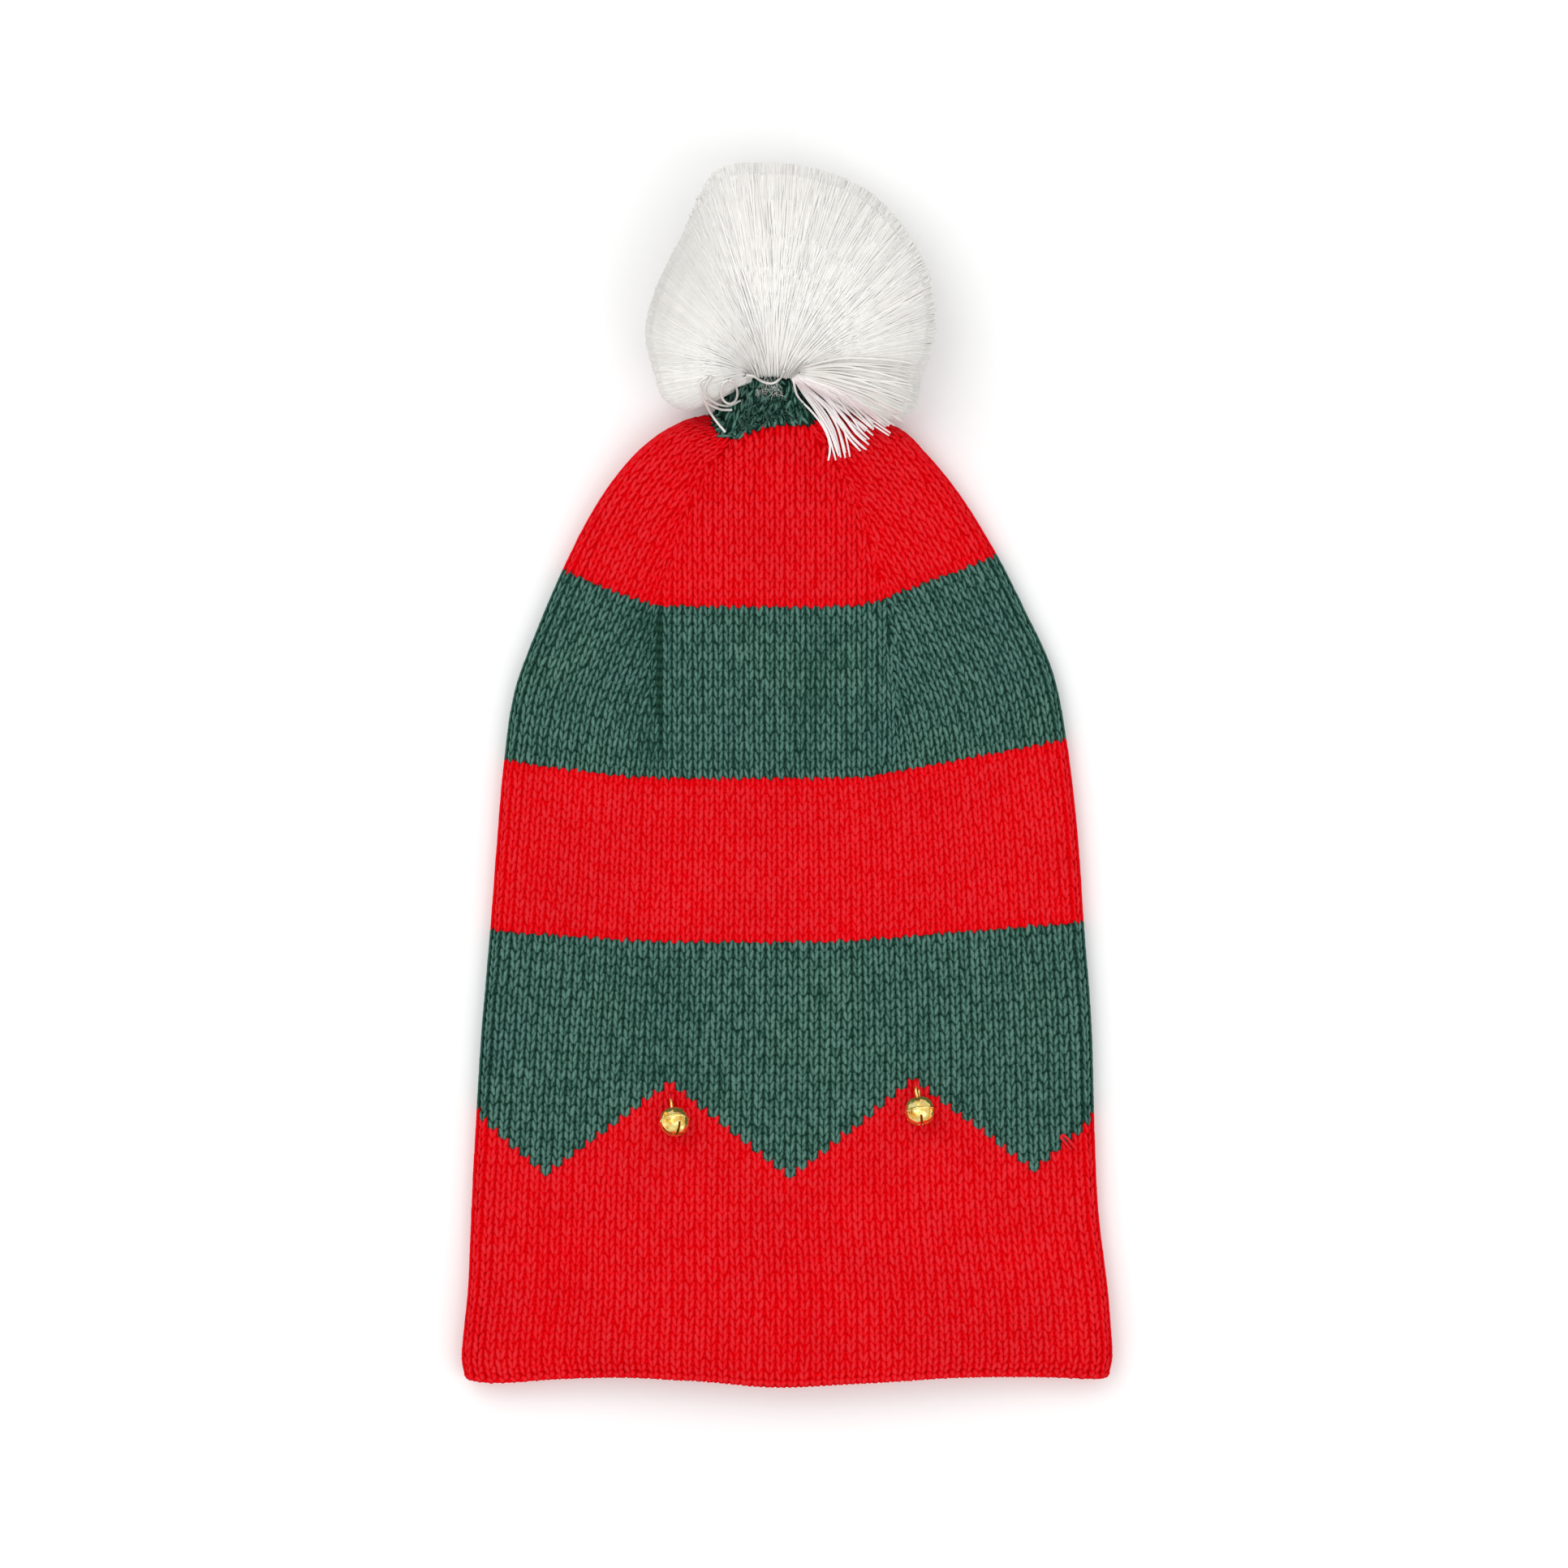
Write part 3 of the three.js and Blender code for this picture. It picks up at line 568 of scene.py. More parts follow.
# RED and GREEN: deep, side and top are each yarn in painted shade, half-lit and under a painted highlight; the pinker
# top of the red is a painted sheen in place of gloss
RED = yarn("red_yarn", (0.74, 0.0003, 0.003), (0.75, 0.0036, 0.0082), (0.735, 0.027, 0.035), (0.93, 0.93, 0.93), 0.0)
GREEN = yarn("green_yarn", (0.006, 0.034, 0.022), (0.026, 0.084, 0.062), (0.108, 0.222, 0.178), (0.86, 0.90, 1.0), 0.03)
RED_SHADED_GROUND = painted_shade_ground("red_ground_painted_shade", (0.78, 0.0005, 0.003), (0.90, 0.0008, 0.004))
GREEN_SHADED_GROUND = painted_shade_ground("green_ground_painted_shade", (0.006, 0.026, 0.017), (0.022, 0.072, 0.050))


def white_thread(name, dark, light, grain=260.0):
    """White thread, each thread a tone of its own, lighter near the knot by the rise attribute: painted light against
    the shade in the funnel at the root.
    """
    m, t, s = material(name)
    own = node(t, "ShaderNodeMath", operation="MULTIPLY")
    t.links.new(node(t, "ShaderNodeNewGeometry").outputs["Random Per Island"], own.inputs[0])
    own.inputs[1].default_value = 0.6
    tint = node(t, "ShaderNodeMath", operation="MULTIPLY_ADD")
    t.links.new(noise(t, grain, 3.0, 0.6), tint.inputs[0])
    tint.inputs[1].default_value = 0.4
    t.links.new(own.outputs["Value"], tint.inputs[2])
    # painted light: the threads are lighter near the knot, where the funnel of the root lies in shade
    root_painted_light = node(t, "ShaderNodeMath", operation="MULTIPLY_ADD")
    t.links.new(node(t, "ShaderNodeAttribute", attribute_name="rise").outputs["Fac"], root_painted_light.inputs[0])
    root_painted_light.inputs[1].default_value = 0.42
    t.links.new(tint.outputs["Value"], root_painted_light.inputs[2])
    col = ramp(t, root_painted_light.outputs["Value"], ((0.2, dark), (0.8, light)))
    t.links.new(col, s.inputs["Base Color"])
    s.inputs["Roughness"].default_value = 0.5
    s.inputs["Specular IOR Level"].default_value = 0.35
    s.inputs["Sheen Weight"].default_value = 0.2
    s.inputs["Sheen Roughness"].default_value = 0.4
    bump(t, s, noise(t, 1.0, 2.0, 0.5, (3000.0, 3000.0, 3000.0)), 0.25, 0.0002)
    return m


STRAND = white_thread("white_strand", (0.84, 0.785, 0.78), (0.97, 0.935, 0.93), 800.0)
WHITE = white_thread("white_thread", (0.745, 0.729, 0.696), (0.885, 0.868, 0.832))


def gold(name):
    m, t, s = material(name)
    wear = noise(t, 420.0, 4.0, 0.6)
    fine = noise(t, 2600.0, 2.0, 0.5)
    dents = noise(t, 300.0, 1.0, 0.4)
    t.links.new(ramp(t, wear, ((0.36, (0.97, 0.47, 0.055)), (0.58, (1.0, 0.86, 0.32)))), s.inputs["Base Color"])
    s.inputs["Metallic"].default_value = 0.92
    r = node(t, "ShaderNodeMapRange")
    r.inputs["From Min"].default_value = 0.3
    r.inputs["From Max"].default_value = 0.7
    r.inputs["To Min"].default_value = 0.1
    r.inputs["To Max"].default_value = 0.2
    t.links.new(wear, r.inputs["Value"])
    t.links.new(r.outputs["Result"], s.inputs["Roughness"])
    bump(t, s, fine, 0.05, 0.00005, bump(t, s, dents, 0.8, 0.0014))
    return m


GOLD = gold("gold_plating")


# ---------------------------------------------------------------------------------------------
# Courses and wales
# ---------------------------------------------------------------------------------------------
RIM_HALF = HEM_WALL / 2
RIM_BASE = RIM_HALF - SKIN


def course(kind, at):
    """The two halves of a course: outside by its mid_y, around the rim by its angle, inside by its mid_y."""
    if kind == "outside":
        return halves(at, SKIN)
    if kind == "rim":
        return halves(MOUTH_Y, RIM_HALF - RIM_BASE * math.cos(at), RIM_BASE * math.sin(at))
    return halves(at, wall(at) - SKIN)


# rows from the turned hem's inner edge, around the rim, up the outside to the neck
ROWS = []
INSIDE_ROWS, RIM_ROWS = 10, 3
for k in range(INSIDE_ROWS):
    m = MOUTH_Y + (HEM_DEPTH - HEM_STEP) * (1 - (k + 0.5) / INSIDE_ROWS)
    ROWS.append(dict(kind="inside", at=m, piece="hem_inside", yarn="red", zig=None, edge=False))
for k in range(RIM_ROWS):
    ROWS.append(dict(kind="rim", at=math.pi * (1 - (k + 0.5) / RIM_ROWS), piece="hem_inside", yarn="red", zig=None, edge=False))
for name, lo, hi, count, colour in STRIPES:
    for k in range(count):
        m = lo + (hi - lo) * (k + 0.5) / count
        edge = colour != "both" and (k == 0 and name not in ("hem_red", "lower_green") or k == count - 1 and name not in ("hem_red", "neck_green"))
        ROWS.append(dict(kind="outside", at=m, piece=name, yarn=colour, zig=k if colour == "both" else None, edge=edge))


def seams(line, at):
    """Distances along one half of a course at which its middle panel starts and ends."""
    d = np.concatenate([[0], np.cumsum(np.linalg.norm(np.diff(line, axis=0), axis=1))])
    lx, rx = (float(along(KNEES[:, 0], KNEES[:, k], at)) for k in (1, 2))
    forward = line[-1, 0] > line[0, 0]
    xs = line[:, 0] if forward else -line[:, 0]
    inner = slice(FOLD_POINTS, len(line) - FOLD_POINTS)
    return tuple(float(np.interp(v, xs[inner], d[inner])) for v in ((lx, rx) if forward else (-rx, -lx)))


def panel_places(panel, pitch, count, first):
    """Distances from the side fold of a side panel's wales. The last one fills what is left up to the seam, nan where a wale has ended."""
    n = np.arange(count)
    lo, hi = (n + first - 0.5) * pitch, (n + first + 0.5) * pitch
    cut = np.minimum(hi, panel)
    place = np.where(cut - lo >= 0.35 * pitch, (lo + cut) / 2, np.nan)
    kept = np.where(~np.isnan(place))[0]
    if len(kept) and kept[-1] + 1 < count and panel > hi[kept[-1]]:
        place[kept[-1]] = (lo[kept[-1]] + panel) / 2
    return place


PITCH = [length_of(line) / n for line, n in zip(course("outside", KNEES[0, 0]), HALF_WALES)]


def side_panels(line, half, at):
    """Length and wales of the panels at the start and at the end of one half of a course."""
    da, db = seams(line, at)
    rest = length_of(line) - db
    return (da, panel_places(da, PITCH[half], PANEL_WALES[half][0], 1.0)), (rest, panel_places(rest, PITCH[half], PANEL_WALES[half][2], 0.0))


GATHERED = [side_panels(line, half, GATHER_Y) for half, line in enumerate(course("outside", GATHER_Y))]


def middle_places(line, half, at):
    """Distances of the middle panel's wales. They run straight up and end where a seam meets them, nan where one has ended."""
    left, right = KNEES[0, 1:]
    n = PANEL_WALES[half][1]
    pitch = (right - left) / n
    x = left + (np.arange(n) + 0.5) * pitch
    d = np.concatenate([[0], np.cumsum(np.linalg.norm(np.diff(line, axis=0), axis=1))])
    inner = slice(FOLD_POINTS, len(line) - FOLD_POINTS)
    forward = line[-1, 0] > line[0, 0]
    place = np.interp(x, line[inner, 0], d[inner]) if forward else np.interp(-x[::-1], -line[inner, 0], d[inner])
    da, db = seams(line, at)
    lo, hi = np.maximum(place - pitch / 2, da), np.minimum(place + pitch / 2, db)
    return np.where(hi - lo >= 0.35 * pitch, (lo + hi) / 2, np.nan)


def wale_places(line, half, kind, at):
    """Distances along one half of a course at which its wales lie, nan where a wale has ended."""
    total, n = length_of(line), HALF_WALES[half]
    if kind != "outside" or at <= KNEES[0, 0] or at > STRIPES[-1][1]:
        return (np.arange(n) + 1) / n * total
    first, middle, last = PANEL_WALES[half]
    da, db = seams(line, at)
    (start, start_at), (stop, stop_at) = GATHERED[half] if at > GATHER_Y else side_panels(line, half, at)
    out = np.full(n, np.nan)
    out[:first] = start_at * da / start
    out[first : first + middle] = middle_places(line, half, at)
    out[n - last :] = (total - stop_at * (total - db) / stop)[::-1]
    return out


n_rows = len(ROWS)
PLACE = np.full((n_rows, WALES, 3), np.nan)
for j, row in enumerate(ROWS):
    for half, line in enumerate(course(row["kind"], row["at"])):
        at = wale_places(line, half, row["kind"], row["at"])
        good = ~np.isnan(at)
        pts, _ = spaced(line, at[good])
        PLACE[j, half * FRONT_WALES : half * FRONT_WALES + len(at)][good] = pts


def best_difference(values, axis, wrap):
    """Central differences where both neighbours exist, one-sided where only one does."""
    fwd = np.roll(values, -1, axis) - values
    back = values - np.roll(values, 1, axis)
    if not wrap:
        sl = [slice(None)] * values.ndim
        sl[axis] = -1
        fwd[tuple(sl)] = np.nan
        sl[axis] = 0
        back[tuple(sl)] = np.nan
    both = np.stack([fwd, back])
    count = (~np.isnan(both)).sum(axis=0)
    return np.where(count > 0, np.nansum(both, axis=0) / np.maximum(1, count), np.nan)


ALONG_S = best_difference(PLACE, 1, True)
NECK_ROWS = STRIPES[-1][3]
ALONG_M = np.concatenate([best_difference(PLACE[:-NECK_ROWS], 0, False), best_difference(PLACE[-NECK_ROWS:], 0, False)])
exists = ~np.isnan(PLACE[..., 0]) & ~np.isnan(ALONG_S[..., 0]) & ~np.isnan(ALONG_M[..., 0])


def is_green(row, wale):
    if row["yarn"] != "both":
        return np.full(len(wale), row["yarn"] == "green")
    away = np.abs(np.mod(wale - VALLEY_WALE + ZIG_WALES / 2, ZIG_WALES) - ZIG_WALES / 2)
    return away <= row["zig"] + 0.1


# stations of a leg: across, along, up, size, and bright, the share of the painted highlight there
LEG = (
    (0.07, -0.97, -0.75, 0.0, 0.0),
    (0.12, -0.50, -0.10, 0.86, 0.8),
    (0.225, 0.00, 0.13, 1.0, 1.0),
    (0.325, 0.50, -0.08, 0.88, 0.8),
    (0.39, 0.97, -0.75, 0.0, 0.0),
)
PLAIN_LEG = (LEG[0], (0.16, -0.38, 0.0, 0.95, 0.95), (0.30, 0.38, 0.0, 0.95, 0.95), LEG[4])
NECK_EVERY = 3  # in the gathered neck the wales lie over each other and one in so many shows
EDGE_SHADE = 0.8  # how much of its painted highlight a red row keeps at a change of colour, darker along the stripe's edge
CREASE_SHADE = 0.07  # painted shade: a stitch's highlight is darker by this for each millimetre of a crease

collected = {}
wale_ids = np.arange(WALES)
rim_row = np.array([1.0 if r["kind"] == "rim" else 0.0 for r in ROWS])
neck_row = np.array([float(smooth(112, 119, r["at"])) if r["kind"] == "outside" else 0.0 for r in ROWS])
shade_row = np.array([EDGE_SHADE if r["edge"] and r["yarn"] == "red" else 1.0 for r in ROWS])
for j, row in enumerate(ROWS):
    ok = exists[j]
    green = is_green(row, wale_ids.astype(float))
    if row["kind"] == "outside":
        seen = (wale_ids < FRONT_WALES + 3) | (wale_ids >= WALES - 3)
    else:
        seen = np.ones(len(wale_ids), bool)
    if row["piece"] == "neck_green":
        ok = ok & ((wale_ids + j) % NECK_EVERY == 0)
    fine_inside = row["kind"] == "inside"
    for colour, pick in (("green", green), ("red", ~green)):
        name = row["piece"]
        if name == "zigzag":
            name = "lower_green" if colour == "green" else "hem_red"
        for detail, which in (("fine", seen & (not fine_inside)), ("plain", ~seen | fine_inside)):
            idx = np.where(ok & pick & which)[0]
            if len(idx):
                collected.setdefault((name, colour), {}).setdefault(detail, []).append((j, idx))

for (name, colour), groups in collected.items():
    verts, quads, tris, uvq, uvt, painted_highlights = [], [], [], [], [], []
    offset = 0
    parts = []
    for detail, items in groups.items():
        js = np.concatenate([np.full(len(i), j) for j, i in items])
        ks = np.concatenate([i for _, i in items])
        P, S, M = PLACE[js, ks], ALONG_S[js, ks], ALONG_M[js, ks]
        N = unit(np.cross(S, M))
        wide, high = np.linalg.norm(S, axis=1), np.linalg.norm(M, axis=1)
        if name == "neck_green":
            wide, high = wide * NECK_EVERY, high * 0.8
        M = unit(M)
        S = unit(np.cross(M, N))
        # painted shade in the creases of the upper face, and along red rows at a change of colour
        shade = shade_row[js] * (1 - CREASE_SHADE * dent(P[:, 0], P[:, 1]) * smooth(0.2, 0.6, N[:, 2]))
        calm = np.maximum(rim_row[js], (1 - neck_row[js]) * smooth(0.62, 0.25, np.abs(N[:, 2])))
        parts.append(spindles(P, S, M, N, wide, high, calm, neck_row[js], shade, 5 if detail == "fine" else 4, LEG if detail == "fine" else PLAIN_LEG))
    share = 1.0 / len(parts)
    for k, (v, q, t, uq, ut, up) in enumerate(parts):
        painted_highlights.append(up)
        verts.append(v)
        quads.append(q + offset)
        tris.append(t + offset)
        uvq.append(uq * (1, share) + (0, share * k))
        uvt.append(ut * (1, share) + (0, share * k))
        offset += len(v)
    verts = np.concatenate(verts)
    verts[:, 2] = np.maximum(verts[:, 2], 0.02)
    obj = mesh_object(f"{name}_stitches", verts, [np.concatenate(quads), np.concatenate(tris)], [RED if colour == "red" else GREEN], {BAKE_MAP: [np.concatenate(uvq), np.concatenate(uvt)]}, rise=np.concatenate(painted_highlights))
    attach(obj, "root")

# ---------------------------------------------------------------------------------------------
# The cloth behind the stitches, hollow, with the turned hem
# ---------------------------------------------------------------------------------------------
def closed_ring(two):
    """Points half-way between the wales, so that each cell lies behind one wale."""
    return np.concatenate([spaced(line, (np.arange(n) + 0.5) / n * length_of(line))[0] for line, n in zip(two, HALF_WALES)])


def drawn_in(points, share, forward):
    m = points.mean(axis=0)
    return m + (points - m) * share + np.array((0, forward, 0))


skins, tags = [], []
last_in = closed_ring(halves(CROWN_INSIDE_Y - 9, KNIT_WALL))
for share, forward in ((0.25, 8.2), (0.55, 6.5), (0.86, 3.5)):
    skins.append(drawn_in(last_in, share, forward))
    tags.append(("red", None, 100.0))
STEP_Y = MOUTH_Y + HEM_DEPTH
for m in np.linspace(CROWN_INSIDE_Y - 9, STEP_Y, 66):
    skins.append(closed_ring(halves(m, wall(m))))
    tags.append(("inside", None, m))
for m in np.linspace(STEP_Y - 0.8, STEP_Y - HEM_STEP, 3):
    skins.append(closed_ring(halves(m, wall(m) - SKIN * smooth(STEP_Y, STEP_Y - HEM_STEP, m))))
    tags.append(("red", None, m))
for m in np.linspace(STEP_Y - HEM_STEP - 2, MOUTH_Y, 9):
    skins.append(closed_ring(course("inside", m)))
    tags.append(("red", None, m))
for a in (0.75, 0.5, 0.25):
    skins.append(closed_ring(course("rim", math.pi * a)))
    tags.append(("red", None, MOUTH_Y))
for name, lo, hi, count, colour in STRIPES:
    for k in range(count):
        skins.append(closed_ring(course("outside", lo + (hi - lo) * k / count)))
        tags.append((colour, k if colour == "both" else None, lo))
tie = closed_ring(course("outside", TIE_Y))
skins.append(tie)
tags.append(("green", None, TIE_Y))
for share, forward in ((0.86, 1.7), (0.55, 2.9), (0.25, 3.3)):
    skins.append(drawn_in(tie, share, forward))
    tags.append(("green", None, TIE_Y))

rings = np.array(skins)
n_ring, n_around = rings.shape[:2]
tip_in = rings[0].mean(axis=0) + (0, 0.4, 0)
tip_out = rings[-1].mean(axis=0) + (0, 0.2, 0)
verts = np.concatenate([rings.reshape(-1, 3), [tip_in, tip_out]])
i = np.arange(n_around)
nxt = (i + 1) % n_around
quads = np.concatenate([np.stack([k * n_around + i, k * n_around + nxt, (k + 1) * n_around + nxt, (k + 1) * n_around + i], axis=1) for k in range(n_ring - 1)])
end = (n_ring - 1) * n_around
tris = np.concatenate([np.stack([np.full(n_around, n_ring * n_around), nxt, i], axis=1), np.stack([np.full(n_around, n_ring * n_around + 1), end + i, end + nxt], axis=1)])


def stripe_colour(mid_y, wale):
    for name, lo, hi, count, colour in STRIPES:
        if lo <= mid_y < hi:
            if colour != "both":
                return np.full(len(wale), colour == "green")
            k = int((mid_y - lo) / (hi - lo) * count)
            return is_green(dict(yarn="both", zig=k), wale)
    return np.full(len(wale), mid_y >= STRIPES[-1][1])


face_material = []
for k in range(n_ring - 1):
    colour, zig, m = tags[k]
    w = i.astype(float)
    if colour == "inside":
        g = stripe_colour(m, w)
    else:
        g = is_green(dict(yarn=colour, zig=zig), w)
    face_material.append(g.astype(int))
face_material = np.concatenate(face_material + [np.zeros(n_around, int), np.ones(n_around, int)])
u0, v0 = np.meshgrid(i, np.arange(n_ring - 1))
kq = np.stack([np.stack([u0, v0], -1), np.stack([u0 + 1, v0], -1), np.stack([u0 + 1, v0 + 1], -1), np.stack([u0, v0 + 1], -1)], axis=2).reshape(-1, 2).astype(float)
kt = np.concatenate([np.tile([[0.0, 0.0]], (3 * n_around, 1)), np.tile([[0.0, n_ring]], (3 * n_around, 1))])
bq = kq / (n_around, n_ring + 2) + (0, 1 / (n_ring + 2))
bt = np.concatenate(
    [
        np.stack([np.stack([i + 0.5, np.zeros(n_around)], 1), np.stack([i + 1, np.ones(n_around)], 1), np.stack([i, np.ones(n_around)], 1)], axis=1).reshape(-1, 2),
        np.stack([np.stack([i + 0.5, np.full(n_around, n_ring + 1.0)], 1), np.stack([i, np.full(n_around, n_ring)], 1), np.stack([i + 1, np.full(n_around, n_ring)], 1)], axis=1).reshape(-1, 2),
    ]
) / (n_around, n_ring + 2)
cloth = mesh_object("knit_cloth", verts, [quads, tris], [RED_SHADED_GROUND, GREEN_SHADED_GROUND], {"knit": [kq, kt], BAKE_MAP: [bq, bt]}, face_material)
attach(cloth, "root")
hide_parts("knit_shell")

# ---------------------------------------------------------------------------------------------
# The pompom
# ---------------------------------------------------------------------------------------------
KNOT = np.array((-3.6, 136.5, 21.0))
FAN = (-24.0, 203.0)  # directions from the knot that the threads fill, in degrees
TIE_LEFT, TIE_RIGHT = -13.5, 4.0  # ends of the tied root of the bundle
THREAD_R = 0.27


def pom_height(x, y):
    """Upper and lower face of the pompom at points of the plan, and how near they are to its outline."""
    dx, dy = x - POM["x"], y - POM["y"]
    turn = np.mod(np.degrees(np.arctan2(dy, dx)), 360)
    g = np.hypot(dx, dy) / along(POM_OUTLINE[:, 0], POM_OUTLINE[:, 1], turn)
    s = np.sqrt(np.maximum(0, 1 - np.minimum(1, g) ** 2.5))
    return POM["z"] + POM["rise"] * s, np.maximum(0.4, POM["z"] - POM["sink"] * s), g


def fan_reach(turn):
    """Distance from the knot to the pompom's outline in a direction."""
    lo, hi = np.zeros_like(turn), np.full_like(turn, 110.0)
    c, s = np.cos(turn), np.sin(turn)
    # the outline is left for good once past it: walk in from far away
    steps = np.linspace(110, 2, 217)
    best = np.full_like(turn, 2.0)
    found = np.zeros(len(turn), bool)
    for r in steps:
        g = pom_height(KNOT[0] + r * c, KNOT[1] + r * s)[2]
        hit = (g <= 1) & ~found
        best[hit] = r
        found |= hit
    return best


def root_share(x, y):
    """How far points of the plan lie from the tied root of the bundle on the way to its outline, and their direction from the knot."""
    turn = np.mod(np.degrees(np.arctan2(y - KNOT[1], x - KNOT[0])) + 90, 360) - 90
    near = np.hypot(x - np.clip(x, TIE_LEFT + 1, TIE_RIGHT - 1), y - KNOT[1])
    far = fan_reach(np.radians(np.ravel(turn))).reshape(np.shape(turn)) - np.hypot(x - KNOT[0], y - KNOT[1])
    return near / np.maximum(1e-6, near + np.maximum(0, far)), turn


ROOT_DIP = 6.0  # how far the threads dip into the neck
ROOT_LOW, ROOT_HIGH, ROOT_REACH = 12.0, 32.0, 0.55  # heights of the tied root and how much of a thread it takes to reach the round form


def out_of_root(f):
    return 1 - (1 - np.minimum(1, f / ROOT_REACH)) ** 2


UPPER_STEPS = np.array((0.0, 0.11, 0.22, 0.33, 0.46, 0.62, 0.80, 0.93, 1.0, 1.0))
LOWER_STEPS = np.array((0.0, 0.2, 0.45, 0.68, 0.87, 1.0))
RIM_WRAP = 0.62  # share of the lower face's depth that the longest threads hang down over the rim


def all_round(tries):
    """Directions of threads over the whole fan, a quarter of them drawn together in small lots."""
    lots = rng.uniform(FAN[0], FAN[1], 260)
    gathered = lots[rng.integers(0, len(lots), tries)] + rng.normal(0, 0.4, tries)
    return np.where(rng.uniform(size=tries) < 0.25, gathered, rng.uniform(FAN[0], FAN[1], tries))


def two_ends(tries):
    """Directions of threads on the two faces where the fan ends, next to the crown."""
    return np.where(rng.uniform(size=tries) < 0.5, FAN[0] + 2.5 * rng.uniform(size=tries) ** 2, FAN[1] - 2.5 * rng.uniform(size=tries) ** 2)


def over_rim(n):
    """Ends of threads that hang down over the rim by different lengths."""
    return 2 - (1 - (RIM_WRAP * rng.uniform(size=n)) ** 2) ** 0.4


def fan_threads(count, layers, ends, points, directions=all_round):
    """Threads from the tie to the outline. Those that end past 1 bend down over the rim."""
    tries = count * 3
    turn = np.radians(np.clip(directions(tries), FAN[0], FAN[1]))
    reach = fan_reach(turn)
    keep = rng.uniform(size=tries) < (0.35 + reach / reach.max()) / 1.35
    turn, reach = turn[keep][:count], reach[keep][:count]
    n = len(turn)
    layer = layers(n)
    stop = ends(n)
    loose = np.maximum(0, np.sin(math.pi * np.minimum(1, points / 0.75)))
    f = (points[None] + rng.uniform(-0.045, 0.045, n)[:, None] * loose[None]) * np.minimum(1, stop)[:, None]
    f[:, -1] = np.minimum(stop, 2 - stop)
    under = np.zeros(f.shape, bool)
    under[:, -1] = stop > 1
    swing = rng.normal(0, 0.02, n)[:, None] * np.sin(math.pi * np.minimum(1, f)) + rng.normal(0, 0.01, n)[:, None] * f
    root_x = (TIE_LEFT + TIE_RIGHT) / 2 + (TIE_RIGHT - TIE_LEFT) / 2 * np.cos(turn) + rng.normal(0, 0.9, n)
    root_y = KNOT[1] - 1.0 + 1.6 * np.sin(turn) + rng.normal(0, 0.6, n)
    end_x = KNOT[0] + reach * np.cos(turn)
    end_y = KNOT[1] + reach * np.sin(turn)
    dx, dy = end_x - root_x, end_y - root_y
    x = root_x[:, None] + dx[:, None] * f - dy[:, None] * swing
    y = root_y[:, None] + dy[:, None] * f + dx[:, None] * swing
    top, low, g = pom_height(x, y)
    z_root = ROOT_LOW + (ROOT_HIGH - ROOT_LOW) * layer
    z_form = np.where(under, low, low + (top - low) * layer[:, None])
    blend = out_of_root(f)
    z = z_root[:, None] * (1 - blend) + z_form * blend + rng.normal(0, 0.16, n)[:, None] * f
    y[:, 0] -= 1.0
    z[:, 0] -= ROOT_DIP * layer
    z = np.maximum(z, 0.5)
    r = THREAD_R * rng.uniform(0.85, 1.15, n)[:, None] * np.where(np.arange(len(points)) < len(points) - 1, 1.0, 0.75)[None]
    return np.stack([x, y, z], axis=2), r


def form_normal(v):
    """Outward direction of the bundle's rounded form, leaning up a little on its upper face."""
    d = v - (POM["x"], POM["y"], POM["z"])
    high = np.where(d[:, 2] > 0, POM["rise"], POM["sink"])
    n = unit(np.stack([0.6 * d[:, 0] / 46**2, 0.6 * d[:, 1] / 46**2, d[:, 2] / high**2], axis=1))
    return unit(n + np.stack([np.zeros(len(v)), np.zeros(len(v)), 0.5 * smooth(-8, 4, d[:, 2])], axis=1))


def thread_piece(name, groups, sides=3, soft=0.85, look=None):
    """Threads as one piece. soft is how far their shading follows the form of the whole bundle."""
    verts, quads, tris, uvq, uvt, normals = [], [], [], [], [], []
    offset = 0
    for k, (paths, radii) in enumerate(groups):
        v, q, e, uq, ue, out = tubes(paths, radii, sides)
        normals.append(soft * form_normal(v) + (1 - soft) * 1.4 * out)
        share = 1.0 / len(groups)
        verts.append(v)
        quads.append(q + offset)
        tris.append(e + offset)
        uvq.append(uq * (1, share) + (0, share * k))
        uvt.append(ue * (1, share) + (0, share * k))
        offset += len(v)
    obj = mesh_object(
        name,
        np.concatenate(verts),
        [np.concatenate(quads), np.concatenate(tris)],
        [look or WHITE],
        {BAKE_MAP: [np.concatenate(uvq), np.concatenate(uvt)]},
        normals=np.concatenate(normals) if soft > 0 else None,
        # rise: painted light on the threads near the knot
        rise=1 - smooth(10, 42, np.linalg.norm(np.concatenate(verts)[:, :2] - KNOT[:2], axis=1)) if soft > 0 else None,
    )
    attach(obj, "root")
    return obj


upper = fan_threads(3540, lambda n: 1 - 0.016 * rng.uniform(size=n) ** 1.2, over_rim, UPPER_STEPS)
lower = fan_threads(2100, lambda n: 0.025 * rng.uniform(size=n) ** 1.2, lambda n: rng.uniform(0.88, 1.0, n), LOWER_STEPS)
flank = fan_threads(640, lambda n: rng.uniform(0.0, 1.0, n), lambda n: rng.uniform(0.9, 1.0, n), LOWER_STEPS, two_ends)
thread_piece("pompom_upper_threads", [upper], 3, 0.88)
thread_piece("pompom_lower_threads", [lower], 3, 0.7)
thread_piece("pompom_flank_threads", [flank], 3, 0.3)

